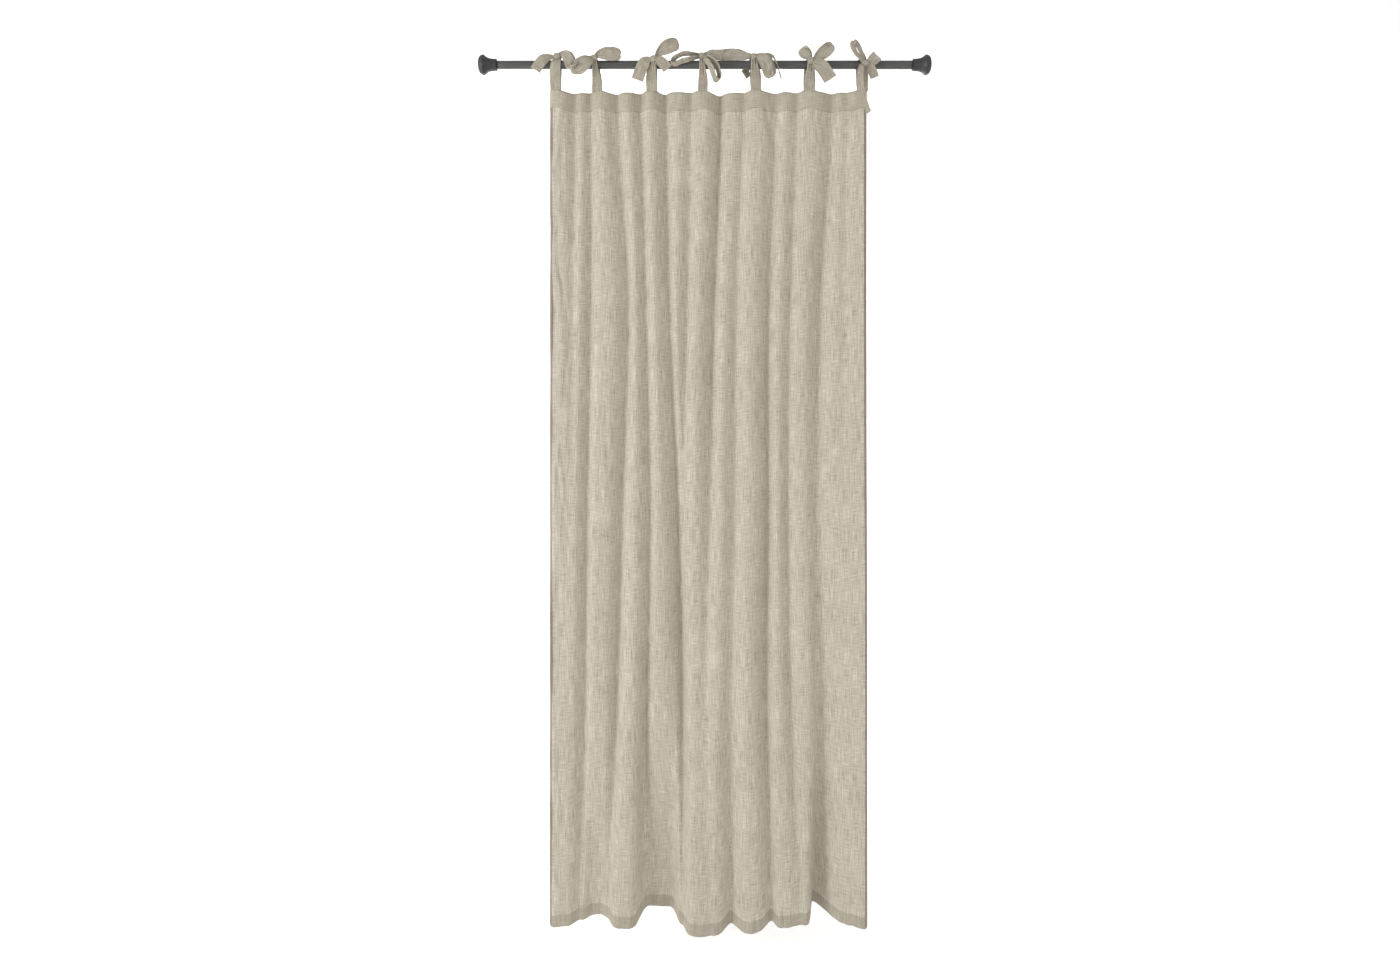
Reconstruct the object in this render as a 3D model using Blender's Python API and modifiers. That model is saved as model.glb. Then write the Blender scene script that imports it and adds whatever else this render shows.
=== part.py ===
"""Tie-top linen curtain panel on its metal rod.

Metres, +Z up. The origin is on the rod's axis at mid length, +X runs along the rod and
the front of the curtain faces -Y. Seven ribbon ties are sewn in the header seam, and
each is knotted over the rod in a bow of loops and loose tails.
"""

import math
from dataclasses import dataclass

import bmesh
import bpy
from mathutils import Vector

COLLECTION_NAME = "curtain_panel"
MM = 0.001
SEAT_GAP = 0.3 * MM

# Rod and finials
ROD_LENGTH = 1.238
ROD_DIAMETER = 0.025
ROD_WALL = 0.0012
FINIAL_LENGTH = 0.055
FINIAL_COLLAR_RADIUS = 0.0177
FINIAL_WAIST_RADIUS = 0.0192
FINIAL_RIM_RADIUS = 0.030
FINIAL_END_RADIUS = 0.014
PLUG_LENGTH_IN_ROD = 0.030
PLUG_STUB_RADIUS = 0.008
PLUG_STUB_LENGTH = 0.012
TURNED_STEPS = 32

# Cloth panel, as it hangs
PANEL_WIDTH = 0.945
PANEL_DROP = 2.485
PANEL_TOP = -0.087
PANEL_MIDDLE = 0.0055
CLOTH_THICKNESS = 1.0 * MM
TOP_SAG = 0.014
HEADER_DEPTH = 0.045
HEM_DEPTH = 0.036
HEM_LIFT = 0.50
SIDE_HEM_WIDTH = 0.018
PANEL_COLUMNS = 76
PANEL_ROWS = 7

# Ties
TIE_PLACES = (-0.443, -0.321, -0.1585, -0.006, 0.153, 0.311, 0.468)
STRAP_WIDTH = 0.027
STRAP_NECK_WIDTH = 0.015
RIBBON_THICKNESS = 0.9 * MM
RIBBON_ROOT_WIDTH = 0.007
KNOT_HALF = Vector((0.010, 0.0065, 0.009))
KNOT_BEVEL = 0.0015
LOOP_ROOT_SPREAD = 0.0019
LOOP_STATIONS = 15
TAIL_STATIONS = 9
STUB_LENGTH = 0.003
WRAP_STEP = 14
BOW_ROD_DIAMETER = 0.025

ROD_RADIUS = ROD_DIAMETER / 2
STRAP_RADIUS = ROD_RADIUS + 2 * SEAT_GAP + RIBBON_THICKNESS / 2
LAYER_STEP = CLOTH_THICKNESS + SEAT_GAP

LINEN = (0.515, 0.468, 0.386)
LINEN_DOUBLE = (0.429, 0.385, 0.313)
RIBBON_LINEN = (0.362, 0.352, 0.270)
ROD_GREY = (0.075, 0.074, 0.070)
FINIAL_GREY = (0.062, 0.061, 0.060)
NYLON_BLACK = (0.02, 0.02, 0.02)


@dataclass(frozen=True)
class Fold:
    """One valley of the pleated cloth: where it runs, how deep and how wide it is."""

    top: float
    middle: float
    bottom: float
    depth_top: float
    depth_bottom: float
    half_width: float


FOLDS = (
    Fold(-0.401, -0.357, -0.376, 0.026, 0.030, 0.017),
    Fold(-0.291, -0.252, -0.290, 0.020, 0.020, 0.015),
    Fold(-0.201, -0.180, -0.186, 0.032, 0.062, 0.020),
    Fold(-0.127, -0.094, -0.100, 0.036, 0.060, 0.018),
    Fold(-0.043, -0.056, -0.058, 0.018, 0.016, 0.016),
    Fold(0.046, 0.019, 0.016, 0.024, 0.012, 0.018),
    Fold(0.112, 0.078, 0.067, 0.024, 0.034, 0.016),
    Fold(0.197, 0.177, 0.190, 0.032, 0.042, 0.018),
    Fold(0.270, 0.227, 0.298, 0.030, 0.058, 0.022),
    Fold(0.392, 0.330, 0.352, 0.026, 0.036, 0.020),
)


@dataclass(frozen=True)
class Loop:
    """A bow loop: its middle line in the XZ plane from the knot's side face outward."""

    name: str
    side: int
    line: tuple
    width: float = 0.028
    opening: float = 0.006
    forward: float = 0.0
    edge_on: bool = False
    root: tuple = (0.0, 0.0025)


@dataclass(frozen=True)
class Tail:
    """A loose ribbon end: its middle line and the way its width points at both ends."""

    name: str
    side: int
    line: tuple
    across_start: tuple = (0, 0, 1)
    across_end: tuple = (0, 0, 1)
    width: float = 0.028
    root: tuple = (-0.0042, -0.0035)


@dataclass(frozen=True)
class Bow:
    """One tie's knot centre, relative to the rod's axis, and what leaves the knot (mm)."""

    knot: tuple
    loops: tuple = ()
    tails: tuple = ()


BOWS = (
    Bow(
        knot=(6, -8.5, 25),
        loops=(Loop("right_loop", 1, ((22, 5), (34, -8), (39, -24)), 0.026,
                    0.003, -10),),
        tails=(
            Tail("left_tail", -1, ((-30, -8, -5), (-50, -13, -20), (-66, -14, -40)),
                 (0, 0, 1), (-0.65, 0, 0.76)),
        ),
    ),
    Bow(
        knot=(-4, -15, 20),
        loops=(
            Loop("left_loop", -1, ((-28, -5), (-50, -16), (-70, -27)), 0.030,
                 forward=-16),
            Loop("right_loop", 1, ((26, 13), (48, 17), (70, 12)), 0.028, 0.007),
        ),
    ),
    Bow(
        knot=(9, -21, 14),
        loops=(Loop("right_loop", 1, ((23, 15), (43, 34), (62, 48)), 0.031, 0.010),),
        tails=(
            Tail("left_tail", -1, ((-27, -4, -6), (-40, -6, -28), (-50, -6, -54)),
                 (0, 0, 1), (-0.78, 0, 0.62), 0.030),
            Tail("right_tail", 1, ((17, -7, -8), (26, -8, -17), (36, -8, -28)),
                 (0, 0, 1), (0.7, 0, 0.7), 0.026),
        ),
    ),
    Bow(
        knot=(-3, -8.5, 28),
        loops=(
            Loop("left_loop", -1, ((-34, -5), (-64, -12), (-96, -22)), 0.018, 0.011,
                 -19, True),
            Loop("right_loop", 1, ((18, 7), (38, 6), (60, 5)), 0.029),
            Loop("hanging_loop", 1, ((28, -18), (38, -44), (45, -68)), 0.013, 0.009,
                 -25, True, (-0.0044, -0.0052)),
        ),
    ),
    Bow(
        knot=(-4, -8.5, 26),
        loops=(
            Loop("left_loop", -1, ((-28, 2), (-58, 5), (-92, 5)), 0.029),
            Loop("right_loop", 1, ((20, -3), (31, -22), (38, -44)), 0.030, 0.005, -22),
        ),
        tails=(
            Tail("right_tail", 1, ((30, 1, 1), (46, -13, -7), (57, -14, -36), (67, -14, -68)),
                 (0, 0, 1), (0, 1, 0), 0.010, (0.0045, 0.0045)),
            Tail("left_tail", -1, ((-15, 14, 2), (-17, 27, -10), (-20, 28, -32), (-34, 26, -46)),
                 (0, 0, 1), (0.5, 0, 0.8), 0.016, (0.0045, -0.003)),
        ),
    ),
    Bow(
        knot=(0, -21, 14),
        loops=(
            Loop("left_loop", -1, ((-21, 9), (-24, 19), (-24, 30)), 0.022, 0.006),
            Loop("right_loop", 1, ((22, 12), (42, 26), (64, 42)), 0.026, 0.008),
        ),
        tails=(
            Tail("right_tail", 1, ((20, -8, -8), (38, -10, -32), (60, -10, -60)),
                 (0, 0, 1), (0.64, 0, 0.77), 0.030),
        ),
    ),
    Bow(
        knot=(10, -22.5, 1),
        loops=(Loop("left_loop", -1, ((-24, 10), (-31, 34), (-37, 60)), 0.020, 0.008),),
        tails=(
            Tail("upper_tail", 1, ((19, 0, 8), (27, -2, 18), (34, -3, 29)),
                 (0, 0, 1), (-0.8, 0, 0.55), 0.026, (0.0, 0.003)),
            Tail("lower_tail", 1, ((18, -3, -10), (21, -5, -20), (24, -6, -34)),
                 (0, 0, 1), (0.85, 0, 0.45), 0.020, (-0.002, -0.0045)),
            Tail("long_tail", -1, ((-17, -5, -16), (-15, -4, -48), (-7, -3, -92), (7, -3, -134)),
                 (0, 0, 1), (0.55, 0.8, 0), 0.026, (-0.003, -0.0035)),
        ),
    ),
)


def clear_scene():
    """Removes whatever the scene holds."""
    for scene_object in list(bpy.data.objects):
        bpy.data.objects.remove(scene_object, do_unlink=True)


def new_collection(name):
    """Returns a new collection, linked to the scene."""
    collection = bpy.data.collections.new(name)
    bpy.context.scene.collection.children.link(collection)
    return collection


def new_material(name, color, roughness, metallic=0.0):
    """Returns a Principled material of one colour."""
    material = bpy.data.materials.new(name)
    material.use_nodes = True
    shader = material.node_tree.nodes["Principled BSDF"]
    shader.inputs["Base Color"].default_value = (*color, 1.0)
    shader.inputs["Roughness"].default_value = roughness
    shader.inputs["Metallic"].default_value = metallic
    return material


def add_object(name, bm, material, parent=None):
    """Makes the node called name from bm, which it frees, under parent."""
    mesh = bpy.data.meshes.new(name)
    bm.to_mesh(mesh)
    bm.free()
    mesh.materials.append(material)
    node = bpy.data.objects.new(name, mesh)
    node.parent = parent
    bpy.data.collections[COLLECTION_NAME].objects.link(node)
    return node


def add_empty(name, place):
    """Makes an empty at place, for the pieces that move together."""
    empty = bpy.data.objects.new(name, None)
    empty.location = place
    bpy.data.collections[COLLECTION_NAME].objects.link(empty)
    return empty


def smoothstep(share):
    """Eases a share from 0 to 1."""
    share = min(max(share, 0.0), 1.0)
    return share * share * (3 - 2 * share)


def curve_point(points, share):
    """Returns the point at share, 0 to 1, of a smooth curve through points (Catmull-Rom)."""
    reach = share * (len(points) - 1)
    first = min(int(reach), len(points) - 2)
    local = reach - first
    a = points[max(first - 1, 0)]
    b = points[first]
    c = points[first + 1]
    d = points[min(first + 2, len(points) - 1)]
    return (b * 2 + (c - a) * local + (a * 2 - b * 5 + c * 4 - d) * local**2
            + (b * 3 - a - c * 3 + d) * local**3) / 2


def placed_grid(columns, rows, place):
    """Returns a grid of columns by rows faces, each corner moved to place(u, v)."""
    bm = bmesh.new()
    bmesh.ops.create_grid(bm, x_segments=columns, y_segments=rows, size=0.5)
    for corner in bm.verts:
        corner.co = place(corner.co.x + 0.5, corner.co.y + 0.5)
    return bm


# ---------------------------------------------------------------- rod and finials


def add_turned(name, profile, material, parent=None, closed=False):
    """Turns a profile of (along X, radius) points, from axis to axis or closed, about X."""
    bm = bmesh.new()
    corners = [bm.verts.new((radius, 0.0, along)) for along, radius in profile]
    ends = corners[1:] + corners[:1] if closed else corners[1:]
    for start, end in zip(corners, ends):
        bm.edges.new((start, end))
    node = add_object(name, bm, material, parent)
    node.rotation_euler = (0.0, math.radians(90), 0.0)
    screw = node.modifiers.new("turned", "SCREW")
    screw.axis = "Z"
    screw.steps = TURNED_STEPS
    screw.render_steps = TURNED_STEPS
    screw.use_merge_vertices = True
    screw.merge_threshold = 0.00001
    screw.use_smooth_shade = True
    return node


def add_rod(material):
    """Makes the rod: one plain tube, open at both ends."""
    half = ROD_LENGTH / 2
    bore = ROD_RADIUS - ROD_WALL
    outline = ((half, bore), (half, ROD_RADIUS), (-half, ROD_RADIUS), (-half, bore))
    add_turned("rod_tube", outline, material, closed=True)


def add_finial(side, name_end, finial_material, plug_material):
    """Makes a flared finial and the plug that holds it in the rod's end."""
    base = ROD_LENGTH / 2 + SEAT_GAP
    holder = add_empty("finial_pull_" + name_end, (side * ROD_LENGTH / 2, 0.0, 0.0))
    hole = PLUG_STUB_RADIUS + SEAT_GAP
    bottom = PLUG_STUB_LENGTH + SEAT_GAP
    length = FINIAL_LENGTH - SEAT_GAP
    outer = (
        (length, 0.0),
        (length, FINIAL_END_RADIUS),
        (length - 0.0045, 0.0225),
        (length - 0.0140, FINIAL_RIM_RADIUS),
        (length - 0.0165, FINIAL_RIM_RADIUS),
        (length - 0.0215, 0.0262),
        (length - 0.0275, 0.0222),
        (0.0080, FINIAL_WAIST_RADIUS),
        (0.0050, FINIAL_COLLAR_RADIUS),
        (0.0, FINIAL_COLLAR_RADIUS),
        (0.0, hole),
        (bottom, hole),
        (bottom, 0.0),
    )
    plug_radius = ROD_RADIUS - ROD_WALL - SEAT_GAP
    plug = (
        (PLUG_STUB_LENGTH, 0.0),
        (PLUG_STUB_LENGTH, PLUG_STUB_RADIUS),
        (-SEAT_GAP, PLUG_STUB_RADIUS),
        (-SEAT_GAP, plug_radius),
        (-PLUG_LENGTH_IN_ROD, plug_radius),
        (-PLUG_LENGTH_IN_ROD, 0.0),
    )
    turn = (0.0, math.radians(90 * side), 0.0)
    for name, outline, material in (
        ("finial_" + name_end, outer, finial_material),
        ("finial_plug_" + name_end, plug, plug_material),
    ):
        node = add_turned(name, outline, material, holder)
        node.rotation_euler = turn
        node.location = (side * (base - ROD_LENGTH / 2), 0.0, 0.0)


# ---------------------------------------------------------------- cloth panel


def fold_place(fold, share):
    """Returns where a fold's valley runs at share of the drop, 0 at the top."""
    points = [Vector((fold.top, 0, 0)), Vector((fold.middle, 0, 0)), Vector((fold.bottom, 0, 0))]
    return PANEL_MIDDLE + curve_point(points, share).x


def cloth_depth(x, share):
    """Returns how far back the cloth lies at x and share of the drop."""
    depth = 0.0
    for fold in FOLDS:
        away = (x - fold_place(fold, share)) / fold.half_width
        deep = fold.depth_top + (fold.depth_bottom - fold.depth_top) * share
        depth += deep * math.exp(-away * away)
    return depth


def top_sag(x):
    """Returns how far the top edge sags at x, nothing at a tie and most between two."""
    for left, right in zip(TIE_PLACES, TIE_PLACES[1:]):
        if left <= x <= right:
            return TOP_SAG * math.sin(math.pi * (x - left) / (right - left)) ** 2
    return 0.0


def panel_columns():
    """Returns the X of each column: even steps, with one more at each side hem's seam."""
    left = PANEL_MIDDLE - PANEL_WIDTH / 2
    right = PANEL_MIDDLE + PANEL_WIDTH / 2
    inner_left = left + SIDE_HEM_WIDTH + SEAT_GAP
    inner_right = right - SIDE_HEM_WIDTH - SEAT_GAP
    step = (inner_right - inner_left) / PANEL_COLUMNS
    inner = [inner_left + step * count for count in range(PANEL_COLUMNS + 1)]
    return [left, inner_left - SEAT_GAP, *inner, inner_right + SEAT_GAP, right]


def panel_rows():
    """Returns each row's share of the drop: top, header seam, even steps, hem seam, bottom."""
    header = HEADER_DEPTH / PANEL_DROP
    hem = 1 - HEM_DEPTH / PANEL_DROP
    step = (hem - header) / PANEL_ROWS
    return [0.0, *(header + step * count for count in range(PANEL_ROWS + 1)), 1.0]


def cloth_point(x, share):
    """Returns the cloth's point at x and share of the drop."""
    depth = cloth_depth(x, share)
    lift = HEM_LIFT * depth * smoothstep(share)
    sag = top_sag(x) * (1 - share)
    return Vector((x, depth, PANEL_TOP - sag - PANEL_DROP * share + lift))


def add_layer(name, columns, rows, layer, material, parent):
    """Makes one layer of cloth over the given columns and rows, layer steps to the back."""
    column_count = len(columns) - 1
    row_count = len(rows) - 1

    def place(u, v):
        x = columns[round(u * column_count)]
        share = rows[round((1 - v) * row_count)]
        return cloth_point(x, share) + Vector((0.0, layer * LAYER_STEP, 0.0))

    bm = placed_grid(column_count, row_count, place)
    bmesh.ops.reverse_faces(bm, faces=bm.faces[:])
    back = bmesh.ops.extrude_face_region(bm, geom=bm.faces[:], use_keep_orig=True)
    moved = [item for item in back["geom"] if isinstance(item, bmesh.types.BMVert)]
    bmesh.ops.translate(bm, verts=moved, vec=(0.0, CLOTH_THICKNESS, 0.0))
    bmesh.ops.recalc_face_normals(bm, faces=bm.faces[:])
    return add_object(name, bm, material, parent)


def add_panel(parent, linen, double_linen):
    """Makes the cloth, the header band in front of it and the hems turned behind it."""
    columns = panel_columns()
    rows = panel_rows()
    add_layer("panel_cloth", columns, rows, 0, linen, parent)
    add_layer("header_band", columns, rows[:2], -1, double_linen, parent)
    add_layer("bottom_hem", columns[2:-2], rows[-2:], 1, double_linen, parent)
    add_layer("side_hem_left", columns[:2], rows, 1, double_linen, parent)
    add_layer("side_hem_right", columns[-2:], rows, 1, double_linen, parent)


# ---------------------------------------------------------------- ties


def add_ribbon(name, stations, material, parent):
    """Makes a ribbon through stations, each a middle point, a width way and a width."""
    count = len(stations) - 1
    points = [station[0] for station in stations]

    def place(u, v):
        index = round(u * count)
        middle, across, width = stations[index]
        along = points[min(index + 1, count)] - points[max(index - 1, 0)]
        square = across - along * (across.dot(along) / along.length_squared)
        return middle + square.normalized() * width * (v - 0.5)

    bm = placed_grid(count, 1, place)
    node = add_object(name, bm, material, parent)
    shell = node.modifiers.new("thickness", "SOLIDIFY")
    shell.thickness = RIBBON_THICKNESS
    shell.offset = 0.0
    return node


def rod_growth(point, share=1.0):
    """Returns how a thicker rod moves a point out from the axis, times share."""
    outward = Vector((0.0, point.y, point.z)).normalized()
    return outward * (share * (ROD_DIAMETER - BOW_ROD_DIAMETER) / 2)


def stub_station(side, root, knot, across):
    """Returns the station where a ribbon meets the knot's flat side face, square to it."""
    place = Vector((side * (KNOT_HALF.x + SEAT_GAP), root[0], root[1]))
    return knot + place, across, RIBBON_ROOT_WIDTH


def loop_stations(loop, knot):
    """Returns a loop's stations: out along its line on one side and back on the other."""
    start = Vector((loop.side * (KNOT_HALF.x + SEAT_GAP + STUB_LENGTH), *loop.root))
    line = [start] + [Vector((x * MM, loop.root[0], z * MM)) for x, z in loop.line]
    flat_across = Vector((0.0, 1.0, 0.0))
    stations = []
    for index in range(LOOP_STATIONS):
        turn = index / (LOOP_STATIONS - 1)
        out = 1 - (2 * turn - 1) ** 2
        ahead = curve_point(line, min(out + 0.02, 1.0)) - curve_point(line, max(out - 0.02, 0.0))
        in_plane = Vector((-ahead.z, 0.0, ahead.x)).normalized() * loop.side
        spread_way = in_plane if loop.edge_on else flat_across
        across = flat_across if loop.edge_on else in_plane
        swell = LOOP_ROOT_SPREAD + (loop.opening - LOOP_ROOT_SPREAD) * math.sin(math.pi * turn)
        middle = curve_point(line, out) - spread_way * math.cos(math.pi * turn) * swell
        middle.y += loop.forward * MM * smoothstep(out / 0.5)
        width = RIBBON_ROOT_WIDTH + (loop.width - RIBBON_ROOT_WIDTH) * smoothstep(out / 0.6)
        stations.append((knot + middle, across, width))
    root_across = flat_across if loop.edge_on else Vector((0.0, 0.0, 1.0))
    step = (0.0, LOOP_ROOT_SPREAD) if loop.edge_on else (LOOP_ROOT_SPREAD, 0.0)
    ends = []
    for sign in (-1, 1):
        root = (loop.root[0] + sign * step[0], loop.root[1] + sign * step[1])
        ends.append(stub_station(loop.side, root, knot, root_across))
    return [ends[0], *stations, ends[1]]


def tail_stations(tail, knot):
    """Returns a tail's stations from the knot's side face to its cut end."""
    start = Vector((tail.side * (KNOT_HALF.x + SEAT_GAP + STUB_LENGTH), *tail.root))
    line = [start] + [Vector(point) * MM for point in tail.line]
    stations = [stub_station(tail.side, tail.root, knot, Vector(tail.across_start))]
    for index in range(TAIL_STATIONS):
        share = index / (TAIL_STATIONS - 1)
        across = Vector(tail.across_start).lerp(Vector(tail.across_end), smoothstep(share))
        width = RIBBON_ROOT_WIDTH + (tail.width - RIBBON_ROOT_WIDTH) * smoothstep(share / 0.6)
        point = knot + curve_point(line, share)
        point = point + rod_growth(point, smoothstep(point.y / ROD_RADIUS))
        stations.append((point, across, width))
    return stations


def wrap_points(first, last):
    """Returns points round the rod between two angles: 0 degrees in front, 90 on top."""
    count = max(round(abs(last - first) / WRAP_STEP), 1)
    points = []
    for index in range(count + 1):
        turn = math.radians(first + (last - first) * index / count)
        points.append(Vector((0.0, -STRAP_RADIUS * math.cos(turn), STRAP_RADIUS * math.sin(turn))))
    return points


def strap_stations(line, knot_x):
    """Returns a strap's stations, drawn in and led sideways over its last third."""
    lengths = [(b - a).length for a, b in zip(line, line[1:])]
    stations = []
    for index, point in enumerate(line):
        narrowing = smoothstep((sum(lengths[:index]) / sum(lengths) - 0.6) / 0.36)
        width = STRAP_WIDTH + (STRAP_NECK_WIDTH - STRAP_WIDTH) * narrowing
        stations.append((point + Vector((knot_x * narrowing, 0, 0)), Vector((1, 0, 0)), width))
    return stations


def front_strap_line(knot):
    """Returns the front strap's line: up from the header, round the rod's front, to the knot."""
    seam = Vector((0.0, -LAYER_STEP / 2, PANEL_TOP + SEAT_GAP))
    end = Vector((0.0, knot.y + 0.0025, knot.z - KNOT_HALF.z - SEAT_GAP))
    stub = end - Vector((0.0, 0.0, STUB_LENGTH))
    if stub.y < -STRAP_RADIUS:
        return [seam, seam.lerp(stub, 0.35), seam.lerp(stub, 0.7), stub, end]
    leave = math.degrees(math.atan2(stub.z, -stub.y)) - WRAP_STEP
    wraps = wrap_points(-WRAP_STEP / 2, max(leave, WRAP_STEP / 2))
    return [seam, seam.lerp(wraps[0], 0.5), *wraps, stub, end]


def back_strap_line(knot):
    """Returns the back strap's line: up behind the rod and over its top to the knot."""
    seam = Vector((0.0, LAYER_STEP / 2, PANEL_TOP + SEAT_GAP))
    over_rod = knot.z > ROD_RADIUS / 2
    wraps = wrap_points(180 + WRAP_STEP / 2, 98 if over_rod else 62)
    behind = [seam, seam.lerp(wraps[0], 0.5), *wraps]
    if over_rod:
        height = max(knot.z - KNOT_HALF.z / 2, STRAP_RADIUS + RIBBON_THICKNESS)
        end = Vector((0.0, knot.y + KNOT_HALF.y + SEAT_GAP, height))
        return behind + [end + Vector((0.0, STUB_LENGTH, 0.0)), end]
    end = Vector((0.0, knot.y + 0.001, knot.z + KNOT_HALF.z + SEAT_GAP))
    return behind + [end + Vector((0.0, 0.0, STUB_LENGTH)), end]


def add_tie(number, bow, parent, ribbon):
    """Makes one tie: two straps, the knot, and the bow's loops and tails."""
    prefix = f"tie_{number}_"
    knot = Vector(bow.knot) * MM
    knot = knot + rod_growth(knot)
    knot_bm = bmesh.new()
    bmesh.ops.create_cube(knot_bm, size=1.0)
    bmesh.ops.scale(knot_bm, vec=KNOT_HALF * 2, verts=knot_bm.verts[:])
    bmesh.ops.translate(knot_bm, vec=knot, verts=knot_bm.verts[:])
    knot_node = add_object(prefix + "knot", knot_bm, ribbon, parent)
    rounding = knot_node.modifiers.new("rounding", "BEVEL")
    rounding.width = KNOT_BEVEL
    rounding.segments = 1
    straps = (("front_strap", front_strap_line(knot)), ("back_strap", back_strap_line(knot)))
    for name, line in straps:
        add_ribbon(prefix + name, strap_stations(line, knot.x), ribbon, parent)
    for loop in bow.loops:
        add_ribbon(prefix + loop.name, loop_stations(loop, knot), ribbon, parent)
    for tail in bow.tails:
        add_ribbon(prefix + tail.name, tail_stations(tail, knot), ribbon, parent)


def main():
    """Builds the rod, its finials, the cloth panel and the seven ties."""
    clear_scene()
    new_collection(COLLECTION_NAME)
    rod_metal = new_material("rod_satin_steel", ROD_GREY, 0.38, 0.8)
    finial_metal = new_material("finial_satin_steel", FINIAL_GREY, 0.42, 0.8)
    nylon = new_material("plug_nylon", NYLON_BLACK, 0.6)
    linen = new_material("linen", LINEN, 0.92)
    double_linen = new_material("linen_double_layer", LINEN_DOUBLE, 0.92)
    ribbon = new_material("linen_ribbon", RIBBON_LINEN, 0.9)

    add_rod(rod_metal)
    add_finial(-1, "left", finial_metal, nylon)
    add_finial(1, "right", finial_metal, nylon)
    panel_holder = add_empty("panel_holder", (0.0, 0.0, 0.0))
    add_panel(panel_holder, linen, double_linen)
    for number, (place, bow) in enumerate(zip(TIE_PLACES, BOWS), start=1):
        holder = add_empty(f"tie_holder_{number}", (place, 0.0, 0.0))
        holder.parent = panel_holder
        add_tie(number, bow, holder, ribbon)


main()
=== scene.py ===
"""Looks of a tie-top linen curtain panel on a satin grey rod.

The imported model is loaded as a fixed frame. Every cloth piece, the rod and the finials
are then made again as fine surfaces in the places that the frame gives, dressed, and
set to ride on the frame's bodies. All lengths are in metres unless a name says mm.
"""

from __future__ import annotations

import logging
import math
from dataclasses import dataclass, field
from enum import Enum

import bpy
import numpy as np
from numpy.typing import ArrayLike
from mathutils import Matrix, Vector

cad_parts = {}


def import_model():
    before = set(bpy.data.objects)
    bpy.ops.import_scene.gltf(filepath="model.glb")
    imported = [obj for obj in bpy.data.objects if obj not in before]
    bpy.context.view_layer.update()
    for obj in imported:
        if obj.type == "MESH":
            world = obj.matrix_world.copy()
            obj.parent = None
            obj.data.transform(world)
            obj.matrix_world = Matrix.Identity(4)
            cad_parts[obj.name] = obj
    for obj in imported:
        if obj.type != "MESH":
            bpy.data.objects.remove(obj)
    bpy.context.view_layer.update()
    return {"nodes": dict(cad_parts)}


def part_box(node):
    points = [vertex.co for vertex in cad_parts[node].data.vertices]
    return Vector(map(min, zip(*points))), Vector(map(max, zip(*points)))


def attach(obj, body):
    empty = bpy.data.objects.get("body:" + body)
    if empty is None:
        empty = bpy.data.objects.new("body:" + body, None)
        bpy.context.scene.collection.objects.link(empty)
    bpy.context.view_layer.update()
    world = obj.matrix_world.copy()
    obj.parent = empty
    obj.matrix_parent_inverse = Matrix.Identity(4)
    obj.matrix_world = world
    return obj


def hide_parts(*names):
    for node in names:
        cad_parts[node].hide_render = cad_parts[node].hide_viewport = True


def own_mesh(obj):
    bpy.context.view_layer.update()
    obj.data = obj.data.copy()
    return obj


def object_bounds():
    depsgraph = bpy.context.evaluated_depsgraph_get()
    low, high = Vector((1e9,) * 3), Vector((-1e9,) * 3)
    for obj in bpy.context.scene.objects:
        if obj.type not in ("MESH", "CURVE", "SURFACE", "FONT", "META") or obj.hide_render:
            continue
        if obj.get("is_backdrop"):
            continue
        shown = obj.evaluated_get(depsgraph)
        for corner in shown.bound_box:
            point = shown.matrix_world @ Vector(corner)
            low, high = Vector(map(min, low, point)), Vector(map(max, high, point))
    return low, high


LOG = logging.getLogger("curtain")
MM = 0.001
TIE_COUNT = 7
CIRCLE_POINTS = 96


class Side(Enum):
    """The two ends of the rod and the two edges of the panel."""

    LEFT = -1
    RIGHT = 1


class ClothSlot(Enum):
    """The material slots of the main cloth."""

    SINGLE = 0
    DOUBLE = 1
    EDGE = 2
    HEM = 3


# ------------------------------------------------------------------ numbers and meshes


def linear_rgba(hex_code: str) -> tuple[float, float, float, float]:
    """Turns an sRGB hex colour into linear light.

    Args:
        hex_code: Six hex digits after a hash sign.

    Returns:
        Red, green, blue and an alpha of 1.
    """
    shares = [int(hex_code[start : start + 2], 16) / 255 for start in (1, 3, 5)]
    bright = [s / 12.92 if s <= 0.04045 else ((s + 0.055) / 1.055) ** 2.4 for s in shares]
    return bright[0], bright[1], bright[2], 1.0


def eased(share: np.ndarray | float) -> np.ndarray:
    """Eases a share from 0 to 1 with a flat start and end (3t^2 - 2t^3)."""
    held = np.clip(share, 0.0, 1.0)
    return held * held * (3 - 2 * held)


def smooth_through(values: ArrayLike, share: np.ndarray) -> np.ndarray:
    """Reads a Catmull-Rom spline through evenly spaced values.

    Args:
        values: Numbers, or rows of coordinates, that the spline passes through.
        share: Where to read it, 0 at the first value and 1 at the last.

    Returns:
        One value, or one row of coordinates, for each share.
    """
    knots = np.asarray(values, float)
    last = len(knots) - 1
    reach = np.clip(share, 0.0, 1.0) * last
    first = np.minimum(reach.astype(int), last - 1)
    local = reach - first
    if knots.ndim == 2:
        local = local[..., None]
    a = knots[np.maximum(first - 1, 0)]
    b = knots[first]
    c = knots[first + 1]
    d = knots[np.minimum(first + 2, last)]
    bend = (a * 2 - b * 5 + c * 4 - d) * local**2 + (b * 3 - a - c * 3 + d) * local**3
    return (b * 2 + (c - a) * local + bend) / 2


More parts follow.
